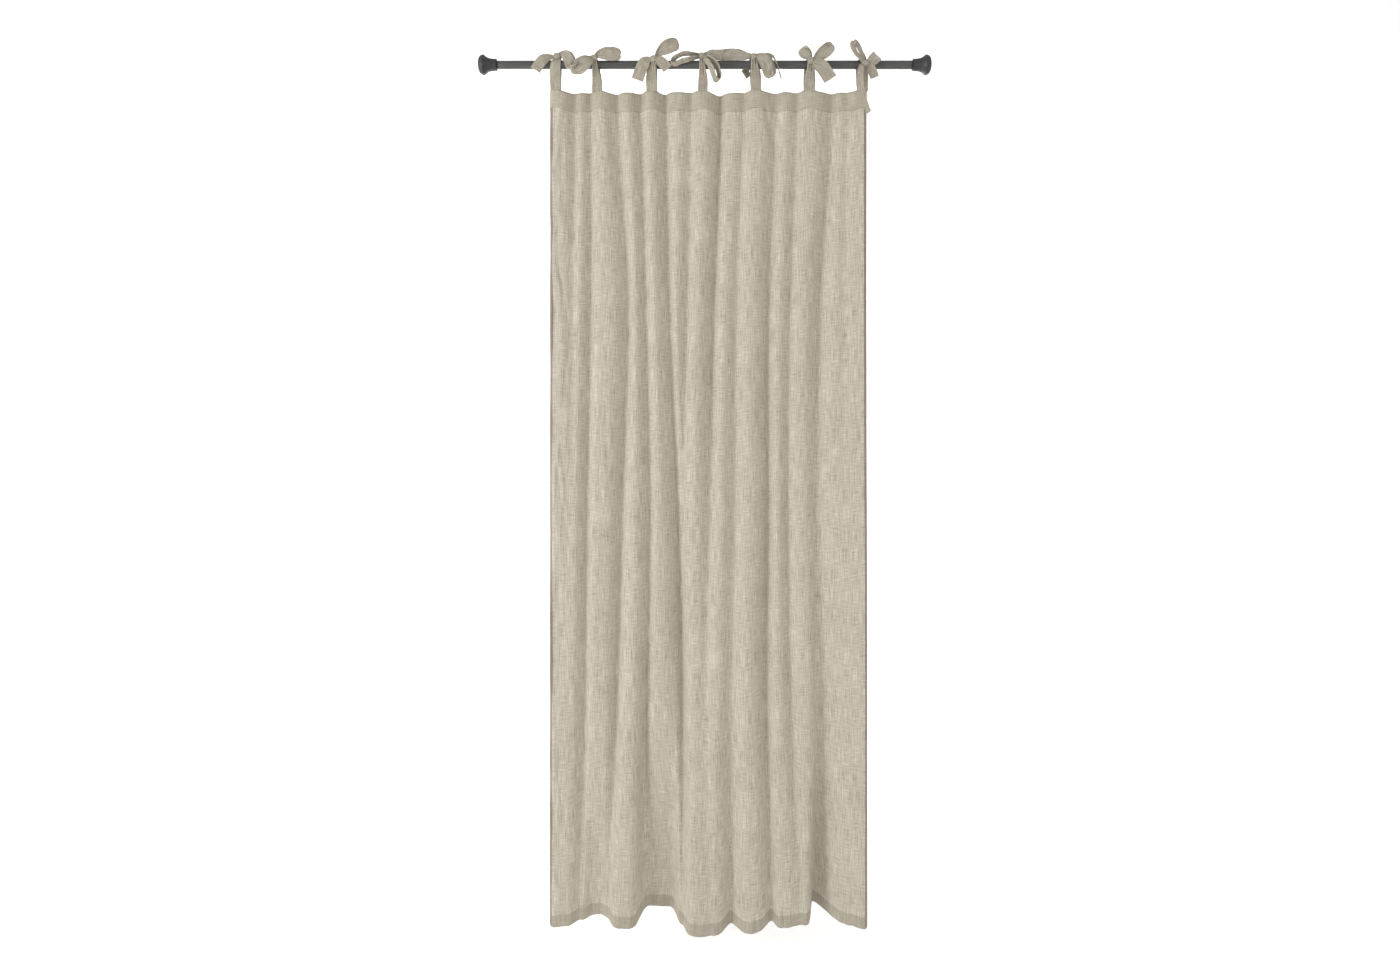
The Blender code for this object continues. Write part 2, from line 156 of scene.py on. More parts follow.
def smooth_noise(u: np.ndarray, v: np.ndarray, seed: int) -> np.ndarray:
    """Gives a smooth random height, about -1 to 1, that varies once for each unit of u and v.

    Random numbers sit on whole u and v, and eased weights blend the four round a point.
    The numbers drawn depend on the span of u and v, so two surfaces that must match have
    to be worked out over the same span.

    Args:
        u: First coordinate of each point.
        v: Second coordinate, of a shape that broadcasts with u.
        seed: Which random field to read.

    Returns:
        The height at each point.
    """
    u, v = np.broadcast_arrays(u, v)
    low_u, low_v = np.floor(u.min()), np.floor(v.min())
    across, down = int(u.max() - low_u) + 3, int(v.max() - low_v) + 3
    field_values = np.random.default_rng(seed).uniform(-1, 1, (across, down))
    cell_u, cell_v = (u - low_u).astype(int), (v - low_v).astype(int)
    ease_u, ease_v = eased(u - low_u - cell_u), eased(v - low_v - cell_v)
    near = field_values[cell_u, cell_v] * (1 - ease_u) + field_values[cell_u + 1, cell_v] * ease_u
    far = field_values[cell_u, cell_v + 1] * (1 - ease_u)
    far = far + field_values[cell_u + 1, cell_v + 1] * ease_u
    return near * (1 - ease_v) + far * ease_v


def unit(vectors: np.ndarray) -> np.ndarray:
    """Scales each vector, along the last axis, to a length of 1."""
    return vectors / np.maximum(np.linalg.norm(vectors, axis=-1, keepdims=True), 1e-12)


def length_along(points: np.ndarray) -> np.ndarray:
    """Sums a line's length up to each of its points."""
    steps = np.linalg.norm(np.diff(points, axis=0), axis=1)
    return np.concatenate([[0], np.cumsum(steps)])


def grid_quads(rows: int, columns: int, round_rows: bool, round_columns: bool) -> np.ndarray:
    """Lists the four corners of each face of a grid of points.

    Args:
        rows: Rows of points.
        columns: Points in each row.
        round_rows: Whether the last row joins the first.
        round_columns: Whether the last column joins the first.

    Returns:
        One row of four point numbers for each face.
    """
    numbers = np.arange(rows * columns).reshape(rows, columns)
    if round_rows:
        numbers = np.vstack([numbers, numbers[:1]])
    if round_columns:
        numbers = np.hstack([numbers, numbers[:, :1]])
    corners = [numbers[:-1, :-1], numbers[:-1, 1:], numbers[1:, 1:], numbers[1:, :-1]]
    return np.stack([corner.ravel() for corner in corners], axis=1)


def surface_object(
    name: str,
    points: np.ndarray,
    materials: list[bpy.types.Material],
    uv: np.ndarray | None = None,
    round_rows: bool = False,
    round_columns: bool = False,
    material_of_face: np.ndarray | None = None,
) -> bpy.types.Object:
    """Makes a smooth-shaded object from a grid of points.

    Args:
        name: The piece's name.
        points: Rows by columns by 3 coordinates.
        materials: The piece's materials, in slot order.
        uv: Rows by columns by 2 pattern coordinates in metres, or None.
        round_rows: Whether the last row joins the first.
        round_columns: Whether the last column joins the first.
        material_of_face: Each face's slot number, or None for the first slot.

    Returns:
        The new object, linked to the scene.
    """
    rows, columns = points.shape[:2]
    quads = grid_quads(rows, columns, round_rows, round_columns)
    mesh = bpy.data.meshes.new(name)
    mesh.from_pydata(points.reshape(-1, 3).tolist(), [], quads.tolist())
    for material in materials:
        mesh.materials.append(material)
    mesh.polygons.foreach_set("use_smooth", np.ones(len(quads), bool))
    if material_of_face is not None:
        mesh.polygons.foreach_set("material_index", material_of_face.astype(np.int32).ravel())
    if uv is not None:
        layer = mesh.uv_layers.new(name="cloth")
        layer.uv.foreach_set("vector", uv.reshape(-1, 2)[quads.ravel()].astype(np.float32).ravel())
    mesh.update()
    piece = bpy.data.objects.new(name, mesh)
    bpy.context.scene.collection.objects.link(piece)
    return piece


def turned_object(
    name: str,
    along: np.ndarray,
    radius: np.ndarray,
    material: bpy.types.Material,
    round_rows: bool = False,
) -> bpy.types.Object:
    """Makes a surface of revolution about the X axis.

    A profile point at (x, r) becomes the circle (x, r sin a, r cos a).

    Args:
        name: The piece's name.
        along: X of each profile point.
        radius: Radius of each profile point.
        material: The piece's material.
        round_rows: Whether the profile's end joins its start.

    Returns:
        The new object, closed round the axis.
    """
    angle = np.linspace(0, 2 * math.pi, CIRCLE_POINTS, endpoint=False)
    rings = [along[:, None] + 0 * angle, radius[:, None] * np.sin(angle)]
    rings.append(radius[:, None] * np.cos(angle))
    points = np.stack(rings, axis=-1)
    return surface_object(name, points, [material], round_rows=round_rows, round_columns=True)


def solidify(piece: bpy.types.Object, thickness: float) -> None:
    """Gives a sheet a real thickness, half of it on each side."""
    shell = piece.modifiers.new("cloth thickness", "SOLIDIFY")
    shell.thickness = thickness
    shell.offset = 0.0


def subdivide(piece: bpy.types.Object) -> None:
    """Rounds a piece with one subdivision, the same in the viewport and the render."""
    rounding = piece.modifiers.new("soft rounding", "SUBSURF")
    rounding.levels = 1
    rounding.render_levels = 1


def add_node(
    tree: bpy.types.NodeTree,
    kind: str,
    settings: dict[str, object] | None = None,
    links: dict[str | int, bpy.types.NodeSocket] | None = None,
) -> bpy.types.Node:
    """Adds a shader node with its settings and links.

    Args:
        tree: The material's node tree.
        kind: The node's type.
        settings: Attribute names, or input names and numbers, and their values.
        links: Input names or numbers, and the outputs that feed them.

    Returns:
        The new node.
    """
    node = tree.nodes.new(kind)
    for name, value in (settings or {}).items():
        if isinstance(name, str) and hasattr(node, name):
            setattr(node, name, value)
        else:
            node.inputs[name].default_value = value
    for name, output in (links or {}).items():
        tree.links.new(output, node.inputs[name])
    return node


def started_material(name: str) -> tuple[bpy.types.Material, bpy.types.Node]:
    """Starts a material.

    Args:
        name: The material's name.

    Returns:
        The material and its Principled shader.
    """
    material = bpy.data.materials.new(name)
    material.use_nodes = True
    return material, material.node_tree.nodes["Principled BSDF"]


def gather(piece: bpy.types.Object) -> None:
    """Gives a piece its own copy of its mesh."""
    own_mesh(piece)


# ------------------------------------------------------------------ finishes


@dataclass(frozen=True)
class WovenLinen:
    """Open plain-weave linen: slubby yarn, thick and thin, with a dry matt face."""

    name: str
    pale: str
    dark: str
    yarn_pitch_mm: float = 2.2
    slub_length_mm: float = 60.0
    slub_width_mm: float = 3.0
    bump_mm: float = 0.35
    light_through: float = 0.22
    roughness: float = 0.92
    patches_per_metre: float = 7.0
    weft_share: float = 0.75
    broad_share: float = 0.14
    yarn_share: float = 0.10
    darkest: float = 0.64
    palest: float = 1.28

    def material(self) -> bpy.types.Material:
        """Builds the cloth's material on the piece's own pattern map.

        Long narrow noise along the warp and the weft is the slub. Two crossed waves are
        the yarns, drawn at twice their real pitch so that they show. Broad faint noise is
        the uneven colour of undyed flax. The tone is the warp's slub plus a share of each
        of the others, between the darkest and the palest sum.

        Returns:
            The linen material.
        """
        material, shader = started_material(self.name)
        tree = material.node_tree
        place = add_node(tree, "ShaderNodeUVMap", {"uv_map": "cloth"}).outputs["UV"]
        warp = self.slub(tree, place, self.slub_width_mm, self.slub_length_mm)
        weft = self.slub(tree, place, self.slub_length_mm * 0.6, self.slub_width_mm * 0.9)
        broad = add_node(
            tree,
            "ShaderNodeTexNoise",
            {"Scale": self.patches_per_metre, "Detail": 2.0},
            {"Vector": place},
        ).outputs["Fac"]
        yarns = self.yarns(tree, place)
        shares = ((self.weft_share, weft), (self.broad_share, broad), (self.yarn_share, yarns))
        sums = [warp]
        for share, pattern in shares:
            joined = add_node(
                tree,
                "ShaderNodeMath",
                {"operation": "MULTIPLY_ADD", 1: share},
                {0: pattern, 2: sums[-1]},
            )
            sums.append(joined.outputs[0])
        tone = add_node(
            tree,
            "ShaderNodeMapRange",
            {1: self.darkest, 2: self.palest, 3: 0.0, 4: 1.0},
            {0: sums[-1]},
        )
        colour = add_node(tree, "ShaderNodeValToRGB", {}, {"Fac": tone.outputs[0]})
        colour.color_ramp.elements[0].color = linear_rgba(self.dark)
        colour.color_ramp.elements[1].color = linear_rgba(self.pale)
        heights = add_node(
            tree, "ShaderNodeMath", {"operation": "MULTIPLY_ADD", 1: 0.5}, {0: yarns, 2: sums[1]}
        ).outputs[0]
        bump = add_node(
            tree,
            "ShaderNodeBump",
            {"Strength": 0.55, "Distance": self.bump_mm * MM},
            {"Height": heights},
        ).outputs["Normal"]
        tree.links.new(colour.outputs["Color"], shader.inputs["Base Color"])
        tree.links.new(bump, shader.inputs["Normal"])
        shader.inputs["Roughness"].default_value = self.roughness
        shader.inputs["Specular IOR Level"].default_value = 0.25
        shader.inputs["Sheen Weight"].default_value = 0.12
        shader.inputs["Sheen Roughness"].default_value = 0.6
        through = add_node(
            tree, "ShaderNodeBsdfTranslucent", {}, {"Color": colour.outputs["Color"]}
        )
        both = add_node(
            tree,
            "ShaderNodeMixShader",
            {"Fac": self.light_through},
            {1: shader.outputs[0], 2: through.outputs[0]},
        )
        tree.links.new(both.outputs[0], tree.nodes["Material Output"].inputs["Surface"])
        return material

    def slub(
        self, tree: bpy.types.NodeTree, place: bpy.types.NodeSocket, wide_mm: float, long_mm: float
    ) -> bpy.types.NodeSocket:
        """Adds stretched noise whose spots are wide_mm by long_mm.

        Args:
            tree: The material's node tree.
            place: The pattern coordinates, in metres.
            wide_mm: Size of a spot across the panel.
            long_mm: Size of a spot down the panel.

        Returns:
            The noise, 0 to 1.
        """
        scaled = add_node(
            tree,
            "ShaderNodeMapping",
            {"Scale": (1 / (wide_mm * MM), 1 / (long_mm * MM), 1.0)},
            {"Vector": place},
        ).outputs[0]
        return add_node(
            tree,
            "ShaderNodeTexNoise",
            {"Scale": 1.0, "Detail": 2.0, "Roughness": 0.55},
            {"Vector": scaled},
        ).outputs["Fac"]

    def yarns(
        self, tree: bpy.types.NodeTree, place: bpy.types.NodeSocket
    ) -> bpy.types.NodeSocket:
        """Adds the product of two crossed waves, one for each set of yarns.

        Args:
            tree: The material's node tree.
            place: The pattern coordinates, in metres.

        Returns:
            The height of the weave, 0 to 1.
        """
        waves = []
        for direction in ("X", "Y"):
            wave = add_node(
                tree,
                "ShaderNodeTexWave",
                {
                    "bands_direction": direction,
                    "Scale": math.pi / (10 * self.yarn_pitch_mm * MM),
                    "Distortion": 1.2,
                    "Detail": 1.0,
                    "Detail Scale": 0.4,
                },
                {"Vector": place},
            )
            waves.append(wave.outputs["Fac"])
        return add_node(
            tree, "ShaderNodeMath", {"operation": "MULTIPLY"}, {0: waves[0], 1: waves[1]}
        ).outputs[0]


@dataclass(frozen=True)
class SatinPaint:
    """Powder coat on metal: an even satin film with a very fine orange peel."""

    name: str
    colour: str
    roughness: float = 0.36
    grain_mm: float = 1.4
    clouds_per_metre: float = 14.0

    def material(self) -> bpy.types.Material:
        """Builds the paint: faint noise in roughness and height on Object coordinates.

        Returns:
            The paint material.
        """
        material, shader = started_material(self.name)
        tree = material.node_tree
        place = add_node(tree, "ShaderNodeTexCoord").outputs["Object"]
        peel = add_node(
            tree,
            "ShaderNodeTexNoise",
            {"Scale": 1 / (self.grain_mm * MM), "Detail": 3.0},
            {"Vector": place},
        ).outputs["Fac"]
        cloudy = add_node(
            tree,
            "ShaderNodeTexNoise",
            {"Scale": self.clouds_per_metre, "Detail": 2.0},
            {"Vector": place},
        ).outputs["Fac"]
        rough = add_node(
            tree,
            "ShaderNodeMapRange",
            {3: self.roughness - 0.06, 4: self.roughness + 0.08},
            {0: cloudy},
        ).outputs[0]
        bump = add_node(
            tree, "ShaderNodeBump", {"Strength": 0.25, "Distance": 0.05 * MM}, {"Height": peel}
        ).outputs["Normal"]
        tree.links.new(rough, shader.inputs["Roughness"])
        tree.links.new(bump, shader.inputs["Normal"])
        shader.inputs["Base Color"].default_value = linear_rgba(self.colour)
        shader.inputs["Specular IOR Level"].default_value = 0.35
        return material


@dataclass(frozen=True)
class MouldedNylon:
    """Black moulded nylon with a faint spark-eroded grain."""

    name: str = "moulded_black_nylon"
    colour: str = "#1b1b1c"
    roughness: float = 0.55
    grain_mm: float = 0.625

    def material(self) -> bpy.types.Material:
        """Builds the nylon: a fine noise bump, as the eroded steel of a mould leaves."""
        material, shader = started_material(self.name)
        tree = material.node_tree
        place = add_node(tree, "ShaderNodeTexCoord").outputs["Object"]
        grain = add_node(
            tree,
            "ShaderNodeTexNoise",
            {"Scale": 1 / (self.grain_mm * MM), "Detail": 2.0},
            {"Vector": place},
        ).outputs["Fac"]
        bump = add_node(
            tree, "ShaderNodeBump", {"Strength": 0.3, "Distance": 0.05 * MM}, {"Height": grain}
        ).outputs["Normal"]
        tree.links.new(bump, shader.inputs["Normal"])
        shader.inputs["Base Color"].default_value = linear_rgba(self.colour)
        shader.inputs["Roughness"].default_value = self.roughness
        return material


@dataclass(frozen=True)
class StudioWhite:
    """Matt white studio paper."""

    name: str = "studio_paper"
    colour: str = "#ffffff"

    def material(self) -> bpy.types.Material:
        """Builds the paper: plain white, fully rough and with no gloss."""
        material, shader = started_material(self.name)
        shader.inputs["Base Color"].default_value = linear_rgba(self.colour)
        shader.inputs["Roughness"].default_value = 1.0
        shader.inputs["Specular IOR Level"].default_value = 0.0
        return material


@dataclass(frozen=True)
class Finishes:
    """Every finish of the curtain and its rod, with three darker copies of the linen that are
    painted shade for doubled cloth and turned edges.
    """

    linen: bpy.types.Material
    double_linen_painted_shade: bpy.types.Material
    hem_linen_painted_shade: bpy.types.Material
    edge_fold_painted_shade: bpy.types.Material
    ribbon: bpy.types.Material
    thread: bpy.types.Material
    rod_paint: bpy.types.Material
    finial_paint: bpy.types.Material
    nylon: bpy.types.Material

    @staticmethod
    def mixed() -> Finishes:
        """Builds the nine materials once, for every piece to share."""
        return Finishes(
            linen=WovenLinen("slub_linen", "#d8d0c1", "#968e7f").material(),
            # Painted shade: a darker copy of the linen for the doubled header band and side hems,
            # standing in for the less light that comes through two layers.
            double_linen_painted_shade=WovenLinen(
                "slub_linen_double_painted_shade", "#b9b1a0", "#8f8776", light_through=0.06
            ).material(),
            # Painted shade: a darker copy of the linen for the bottom hem, standing in for the
            # less light that comes through its doubled cloth.
            hem_linen_painted_shade=WovenLinen(
                "slub_linen_hem_painted_shade", "#b1a99a", "#898171", light_through=0.05
            ).material(),
            # Painted shade: a much darker copy of the linen for the outer columns, standing in for
            # the shadow and thickness of the turned edge.
            edge_fold_painted_shade=WovenLinen(
                "slub_linen_edge_fold_painted_shade", "#8f8577", "#6a6155", light_through=0.0
            ).material(),
            ribbon=WovenLinen(
                "linen_ribbon",
                "#b2aa9a",
                "#7c7567",
                yarn_pitch_mm=1.6,
                slub_length_mm=40.0,
                slub_width_mm=1.8,
                light_through=0.08,
            ).material(),
            thread=WovenLinen(
                "linen_sewing_thread", "#c9bfae", "#a3998a", light_through=0.05
            ).material(),
            rod_paint=SatinPaint("satin_grey_paint_on_steel", "#454544", 0.40).material(),
            finial_paint=SatinPaint("satin_grey_paint_on_cast_alloy", "#2f2f2f", 0.46).material(),
            nylon=MouldedNylon().material(),
        )


# ------------------------------------------------------------------ the hanging cloth


@dataclass(frozen=True)
class Fold:
    """One valley of the cloth at five even heights, top to bottom.

    place is the valley's X and depth how far back it lies. left and right are the half
    widths of its two walls at the top and the bottom, and power is how square it is.
    """

    place: tuple[float, ...]
    depth: tuple[float, ...]
    left: tuple[float, float]
    right: tuple[float, float]
    power: float = 1.7

    def depth_at(self, x: np.ndarray, share: np.ndarray) -> np.ndarray:
        """Works out how far back this valley takes the cloth.

        depth times exp(-|d|^power), with d the distance from the valley over the half
        width of the wall on that side.

        Args:
            x: Places along the rod.
            share: Shares of the drop, of a shape that broadcasts with x.

        Returns:
            The depth at each place.
        """
        away = x - smooth_through(self.place, share)
        left = self.left[0] + (self.left[1] - self.left[0]) * share
        right = self.right[0] + (self.right[1] - self.right[0]) * share
        reach = np.abs(away) / np.where(away < 0, left, right)
        return smooth_through(self.depth, share) * np.exp(-(reach**self.power))


FOLDS = (
    Fold((-0.390, -0.394, -0.398, -0.400, -0.400), (0.018, 0.012, 0.004, 0.0, 0.0),
         (0.020, 0.020), (0.016, 0.018)),
    Fold((-0.340, -0.342, -0.353, -0.362, -0.376), (0.020, 0.026, 0.028, 0.026, 0.014),
         (0.024, 0.024), (0.014, 0.014)),
    Fold((-0.262, -0.232, -0.248, -0.264, -0.290), (0.024, 0.028, 0.031, 0.033, 0.020),
         (0.026, 0.026), (0.016, 0.014)),
    Fold((-0.322, -0.322, -0.322, -0.328, -0.330), (0.0, 0.0, 0.0, 0.008, 0.030),
         (0.034, 0.034), (0.034, 0.034), 2.6),
    Fold((-0.192, -0.178, -0.167, -0.180, -0.198), (0.022, 0.026, 0.027, 0.024, 0.014),
         (0.024, 0.018), (0.014, 0.016)),
    Fold((-0.118, -0.108, -0.086, -0.066, -0.066), (0.027, 0.030, 0.034, 0.037, 0.026),
         (0.026, 0.028), (0.014, 0.012)),
    Fold((-0.150, -0.150, -0.138, -0.138, -0.136), (0.0, 0.0, 0.0, 0.016, 0.069),
         (0.040, 0.057), (0.040, 0.054), 6.0),
    Fold((-0.040, -0.054, -0.062, -0.060, -0.050), (0.012, 0.022, 0.016, 0.004, 0.0),
         (0.020, 0.024), (0.014, 0.016)),
    Fold((0.046, 0.026, 0.014, 0.004, 0.020), (0.026, 0.030, 0.022, 0.008, 0.006),
         (0.022, 0.026), (0.014, 0.018)),
    Fold((0.118, 0.094, 0.086, 0.076, 0.079), (0.012, 0.018, 0.022, 0.024, 0.038),
         (0.018, 0.028), (0.012, 0.028)),
    Fold((0.214, 0.190, 0.188, 0.184, 0.200), (0.018, 0.032, 0.034, 0.032, 0.026),
         (0.028, 0.026), (0.014, 0.014)),
    Fold((0.276, 0.253, 0.246, 0.258, 0.286), (0.014, 0.020, 0.022, 0.020, 0.006),
         (0.020, 0.018), (0.014, 0.016)),
    Fold((0.380, 0.337, 0.330, 0.340, 0.328), (0.020, 0.032, 0.022, 0.030, 0.071),
         (0.024, 0.011), (0.018, 0.062)),
    Fold((0.424, 0.418, 0.414, 0.420, 0.440), (0.008, 0.006, 0.0, 0.0, 0.004),
         (0.018, 0.018), (0.016, 0.016)),
)


@dataclass(frozen=True)
class Crease:
    """A short soft crease between two (X, share of the drop) points."""

    start: tuple[float, float]
    end: tuple[float, float]
    depth: float
    half_width: float = 0.007

    def depth_at(self, x: np.ndarray, share: np.ndarray) -> np.ndarray:
        """Works out how far back the crease takes the cloth.

        depth times exp(-d^2) across it, with d the distance over the half width, times
        sin^2 of the way along it, and nothing past its ends.

        Args:
            x: Places along the rod.
            share: Shares of the drop, of a shape that broadcasts with x.

        Returns:
            The depth at each place.
        """
        way = (share - self.start[1]) / (self.end[1] - self.start[1])
        held = np.clip(way, 0.0, 1.0)
        middle = self.start[0] + (self.end[0] - self.start[0]) * held
        reach = (x - middle) / self.half_width
        return self.depth * np.exp(-(reach**2)) * np.sin(math.pi * held) ** 2


CREASES = (
    Crease((0.172, 0.004), (0.214, 0.085), 0.0105),
    Crease((-0.292, 0.006), (-0.262, 0.105), 0.0080, 0.009),
    Crease((-0.420, 0.020), (-0.436, 0.140), 0.0030),
    Crease((-0.438, 0.180), (-0.412, 0.290), 0.0036),
    Crease((-0.408, 0.300), (-0.430, 0.420), 0.0040),
    Crease((-0.436, 0.390), (-0.402, 0.520), 0.0036),
    Crease((-0.300, 0.360), (-0.282, 0.500), 0.0030),
    Crease((-0.445, 0.560), (-0.418, 0.720), 0.0034),
    Crease((0.364, 0.800), (0.398, 0.960), 0.0048),
    Crease((0.402, 0.700), (0.386, 0.840), 0.0036),
    Crease((0.052, 0.860), (0.030, 0.960), 0.0030, 0.009),
)


@dataclass(frozen=True)
class Ripple:
    """Smooth random waves: the width of one, how many lie in the drop, and their height."""

    width: float
    in_drop: float
    height: float
    seed: int
    start: float = 0.0

    def depth_at(self, x: np.ndarray, share: np.ndarray) -> np.ndarray:
        """Works out how far back the waves take the cloth at each x and share of the drop."""
        waves = smooth_noise(x / self.width + self.start, share * self.in_drop, self.seed)
        return waves * self.height


RIDGE_SWAY = Ripple(0.060, 3.0, 0.0035, 11, 3.0)
CRINKLES = (Ripple(0.013, 9.0, 0.0007, 12), Ripple(0.006, 22.0, 0.00022, 13))
PUCKERS = Ripple(0.014, 30.0, 0.0042, 14)


@dataclass
class LinenPanel:
    """The hanging cloth with its header band, hems and stitching.

    flat_width and flat_length are the cloth's own size, columns and rows its grid, and
    layer_step the space from one layer's middle to the next. top_rise and hem_fall are how
    far it passes the frame's cloth. Its top edge sags over sag_reach beyond each tie's
    foot, and dips at one (X, half width, depth). lift_share is how much of its depth the
    hem is drawn up, from the share lift_from of the drop downwards. header_waves is what
    is left of the small waves at the top, back in full at stiff_share of the drop. Both
    edges turn back by edge_turn over edge_reach, and lead is how far the whole cloth
    stands to the front. band_rows and edge_columns count the faces of the doubled cloth
    and of the folded edge. hem_line is the hem's height at even places across, and
    left_edge and right_edge are the edges' X at even heights.
    """

    finishes: Finishes
    flat_width: float = 1.40
    flat_length: float = 2.50
    columns: int = 300
    rows: int = 150
    thickness: float = 0.6 * MM
    layer_step: float = 0.9 * MM
    header_depth: float = 0.057
    hem_depth: float = 0.036
    side_hem: float = 0.016
    top_rise: float = 0.013
    hem_fall: float = 0.022
    sag: float = 0.008
    dip: tuple[float, float, float] = (0.043, 0.050, 0.004)
    sag_reach: float = 0.013
    lift_share: float = 0.70
    lift_from: float = 0.35
    header_waves: float = 0.25
    stiff_share: float = 0.05
    edge_turn: float = 0.007
    edge_reach: float = 0.008
    pucker_reach: float = 0.045
    lead: float = 0.004
    tie_foot: float = 0.011
    hem_ease: float = 0.004
    band_rows: int = 7
    edge_columns: int = 3
    stitch_inset: float = 0.003
    stitch_step: float = 0.0045
    side_stitch_step: float = 0.0055
    thread_radius: float = 0.45 * MM
    hem_line: tuple[float, ...] = (0.0, 0.004, -0.006, -0.015, -0.031, -0.020, 0.0, 0.0, -0.006)
    ties: tuple[float, ...] = ()
    left_edge: tuple[float, ...] = (-0.461, -0.461, -0.462, -0.462, -0.462)
    right_edge: tuple[float, ...] = (0.483, 0.483, 0.484, 0.485, 0.485)
    pieces: list[bpy.types.Object] = field(default_factory=list)

    def __post_init__(self) -> None:
        """Reads the cloth's top and bottom from the frame."""
        low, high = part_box("panel_cloth")
        self.top = high[2] + self.top_rise
        self.drop = self.top - low[2] + self.hem_fall

    def depth(self, x: np.ndarray, share: np.ndarray) -> np.ndarray:
        """Works out how far back the cloth lies.

        The folds and creases add up. On top of them come a slow sway of the ridges, fine
        upright crinkles, the puckers of the side hem's stitching at the left edge and the
        turn of both edges to the back. The header is stiffer and has less of the waves.

        Args:
            x: Places along the rod.
            share: Shares of the drop, of a shape that broadcasts with x.

        Returns:
            The depth at each place.
        """
        depth = sum(fold.depth_at(x, share) for fold in FOLDS)
        depth = depth + sum(crease.depth_at(x, share) for crease in CREASES)
        ridges = RIDGE_SWAY.depth_at(x, share) * (1 - 0.7 * share**4)
        crinkles = sum(ripple.depth_at(x, share) for ripple in CRINKLES)
        left, right, reach = self.left_edge[2], self.right_edge[2], self.edge_reach
        outside = np.maximum(left + reach - x, x - right + reach)
        turned = self.edge_turn * np.clip(outside / reach, 0.0, 1.6) ** 2
        edge = np.exp(-(((x - left) / self.pucker_reach) ** 2))
        puckers = edge * PUCKERS.depth_at(x, share)
        free = eased(share / self.stiff_share)
        waves = (ridges + crinkles + puckers) * (
            self.header_waves + (1 - self.header_waves) * free
        )
        return depth + waves + turned - self.lead

    def height(self, x: np.ndarray, share: np.ndarray, depth: np.ndarray) -> np.ndarray:
        """Works out how high the cloth lies.

        The top edge rises to each tie and sags between two, and at the middle gap dips
        further, by the dip's depth times exp(-d^2) over its half width. Towards the
        bottom, what lies deep is drawn up.

        Args:
            x: Places along the rod.
            share: Shares of the drop.
            depth: How far back the cloth lies there.

        Returns:
            Z at each place.
        """
        nearest = np.min(np.abs(x[..., None] - np.array(self.ties)), axis=-1)
        past = np.maximum(nearest - self.tie_foot, 0.0)
        sag = self.sag * (1 - np.exp(-past / self.sag_reach))
        dip_place, dip_reach, dip_depth = self.dip
        sag = sag + dip_depth * np.exp(-(((x - dip_place) / dip_reach) ** 2)) * (1 - share) ** 5
        low = eased((share - self.lift_from) / (1 - self.lift_from))
        lift = self.lift_share * depth * low
        along = (x - self.left_edge[4]) / (self.right_edge[4] - self.left_edge[4])
        hem = (smooth_through(self.hem_line, along) - max(self.hem_line)) * share**3
        bottom = self.drop + min(self.hem_line) - max(self.hem_line) + self.hem_ease
        return self.top - sag * (1 - share) - bottom * share + lift + hem

    def sheet(self, shares: np.ndarray, columns: int) -> np.ndarray:
        """Lays out the cloth so that its columns are evenly spaced threads.

        Each row's outline is drawn finely, its length along the cloth is summed, and
        the columns are read at even shares of that length. The top and the bottom are
        always worked out too, so that every layer shares the same random waves.

        Args:
            shares: Shares of the drop, one for each row.
            columns: How many threads to lay.

        Returns:
            Rows by columns by 3 coordinates.
        """
        shares = np.concatenate([[0.0], shares, [1.0]])
        fine = np.linspace(0, 1, 1600)
        left = smooth_through(self.left_edge, shares)
        right = smooth_through(self.right_edge, shares)
        x = left[:, None] + (right - left)[:, None] * fine
        depth = self.depth(x, shares[:, None])
        steps = np.hypot(np.diff(x, axis=1), np.diff(depth, axis=1))
        run = np.hstack([np.zeros((len(shares), 1)), np.cumsum(steps, axis=1)])
        threads = np.linspace(0, 1, columns)
        at_x = np.stack([np.interp(threads * r[-1], r, row) for r, row in zip(run, x)])
        at_depth = self.depth(at_x, shares[:, None])
        at_height = self.height(at_x, shares[:, None], at_depth)
        return np.stack([at_x, at_depth, at_height], axis=-1)[1:-1]

    def normals(self, points: np.ndarray) -> np.ndarray:
        """Gives each point's direction to the front, the cross product of row and column."""
        across = np.gradient(points, axis=1)
        down = np.gradient(points, axis=0)
        return unit(np.cross(down, across))

    def pattern(self, shares: np.ndarray, threads: np.ndarray) -> np.ndarray:
        """Gives each point's place on the flat cloth, in metres.

        Args:
            shares: Shares of the drop, one for each row.
            threads: Shares of the flat width, one for each column.

        Returns:
            Rows by columns by 2 coordinates.
        """
        down, across = (1 - shares) * self.flat_length, threads * self.flat_width
        v, u = np.meshgrid(down, across, indexing="ij")
        return np.stack([u, v], axis=-1)

    def add_layer(
        self,
        name: str,
        shares: np.ndarray,
        threads: slice,
        layers_forward: float,
        materials: list[bpy.types.Material],
        slots: np.ndarray | None = None,
    ) -> bpy.types.Object:
        """Makes one layer of cloth, some layers in front of the main cloth or behind it.

        Args:
            name: The piece's name.
            shares: Shares of the drop, one for each row.
            threads: Which columns of the cloth to take.
            layers_forward: How many layer steps to the front.
            materials: The layer's materials.
            slots: Each face's material slot, or None.

        Returns:
            The new object.
        """
        points = self.sheet(shares, self.columns)
        points = points + self.normals(points) * (layers_forward * self.layer_step)
        uv = self.pattern(shares, np.linspace(0, 1, self.columns))
        piece = surface_object(
            name, points[:, threads], materials, uv[:, threads], material_of_face=slots
        )
        solidify(piece, self.thickness)
        return piece

    def thread_share(self, width: float) -> int:
        """Counts the columns in a strip of the flat cloth of the given width."""
        return round(width / self.flat_width * (self.columns - 1))

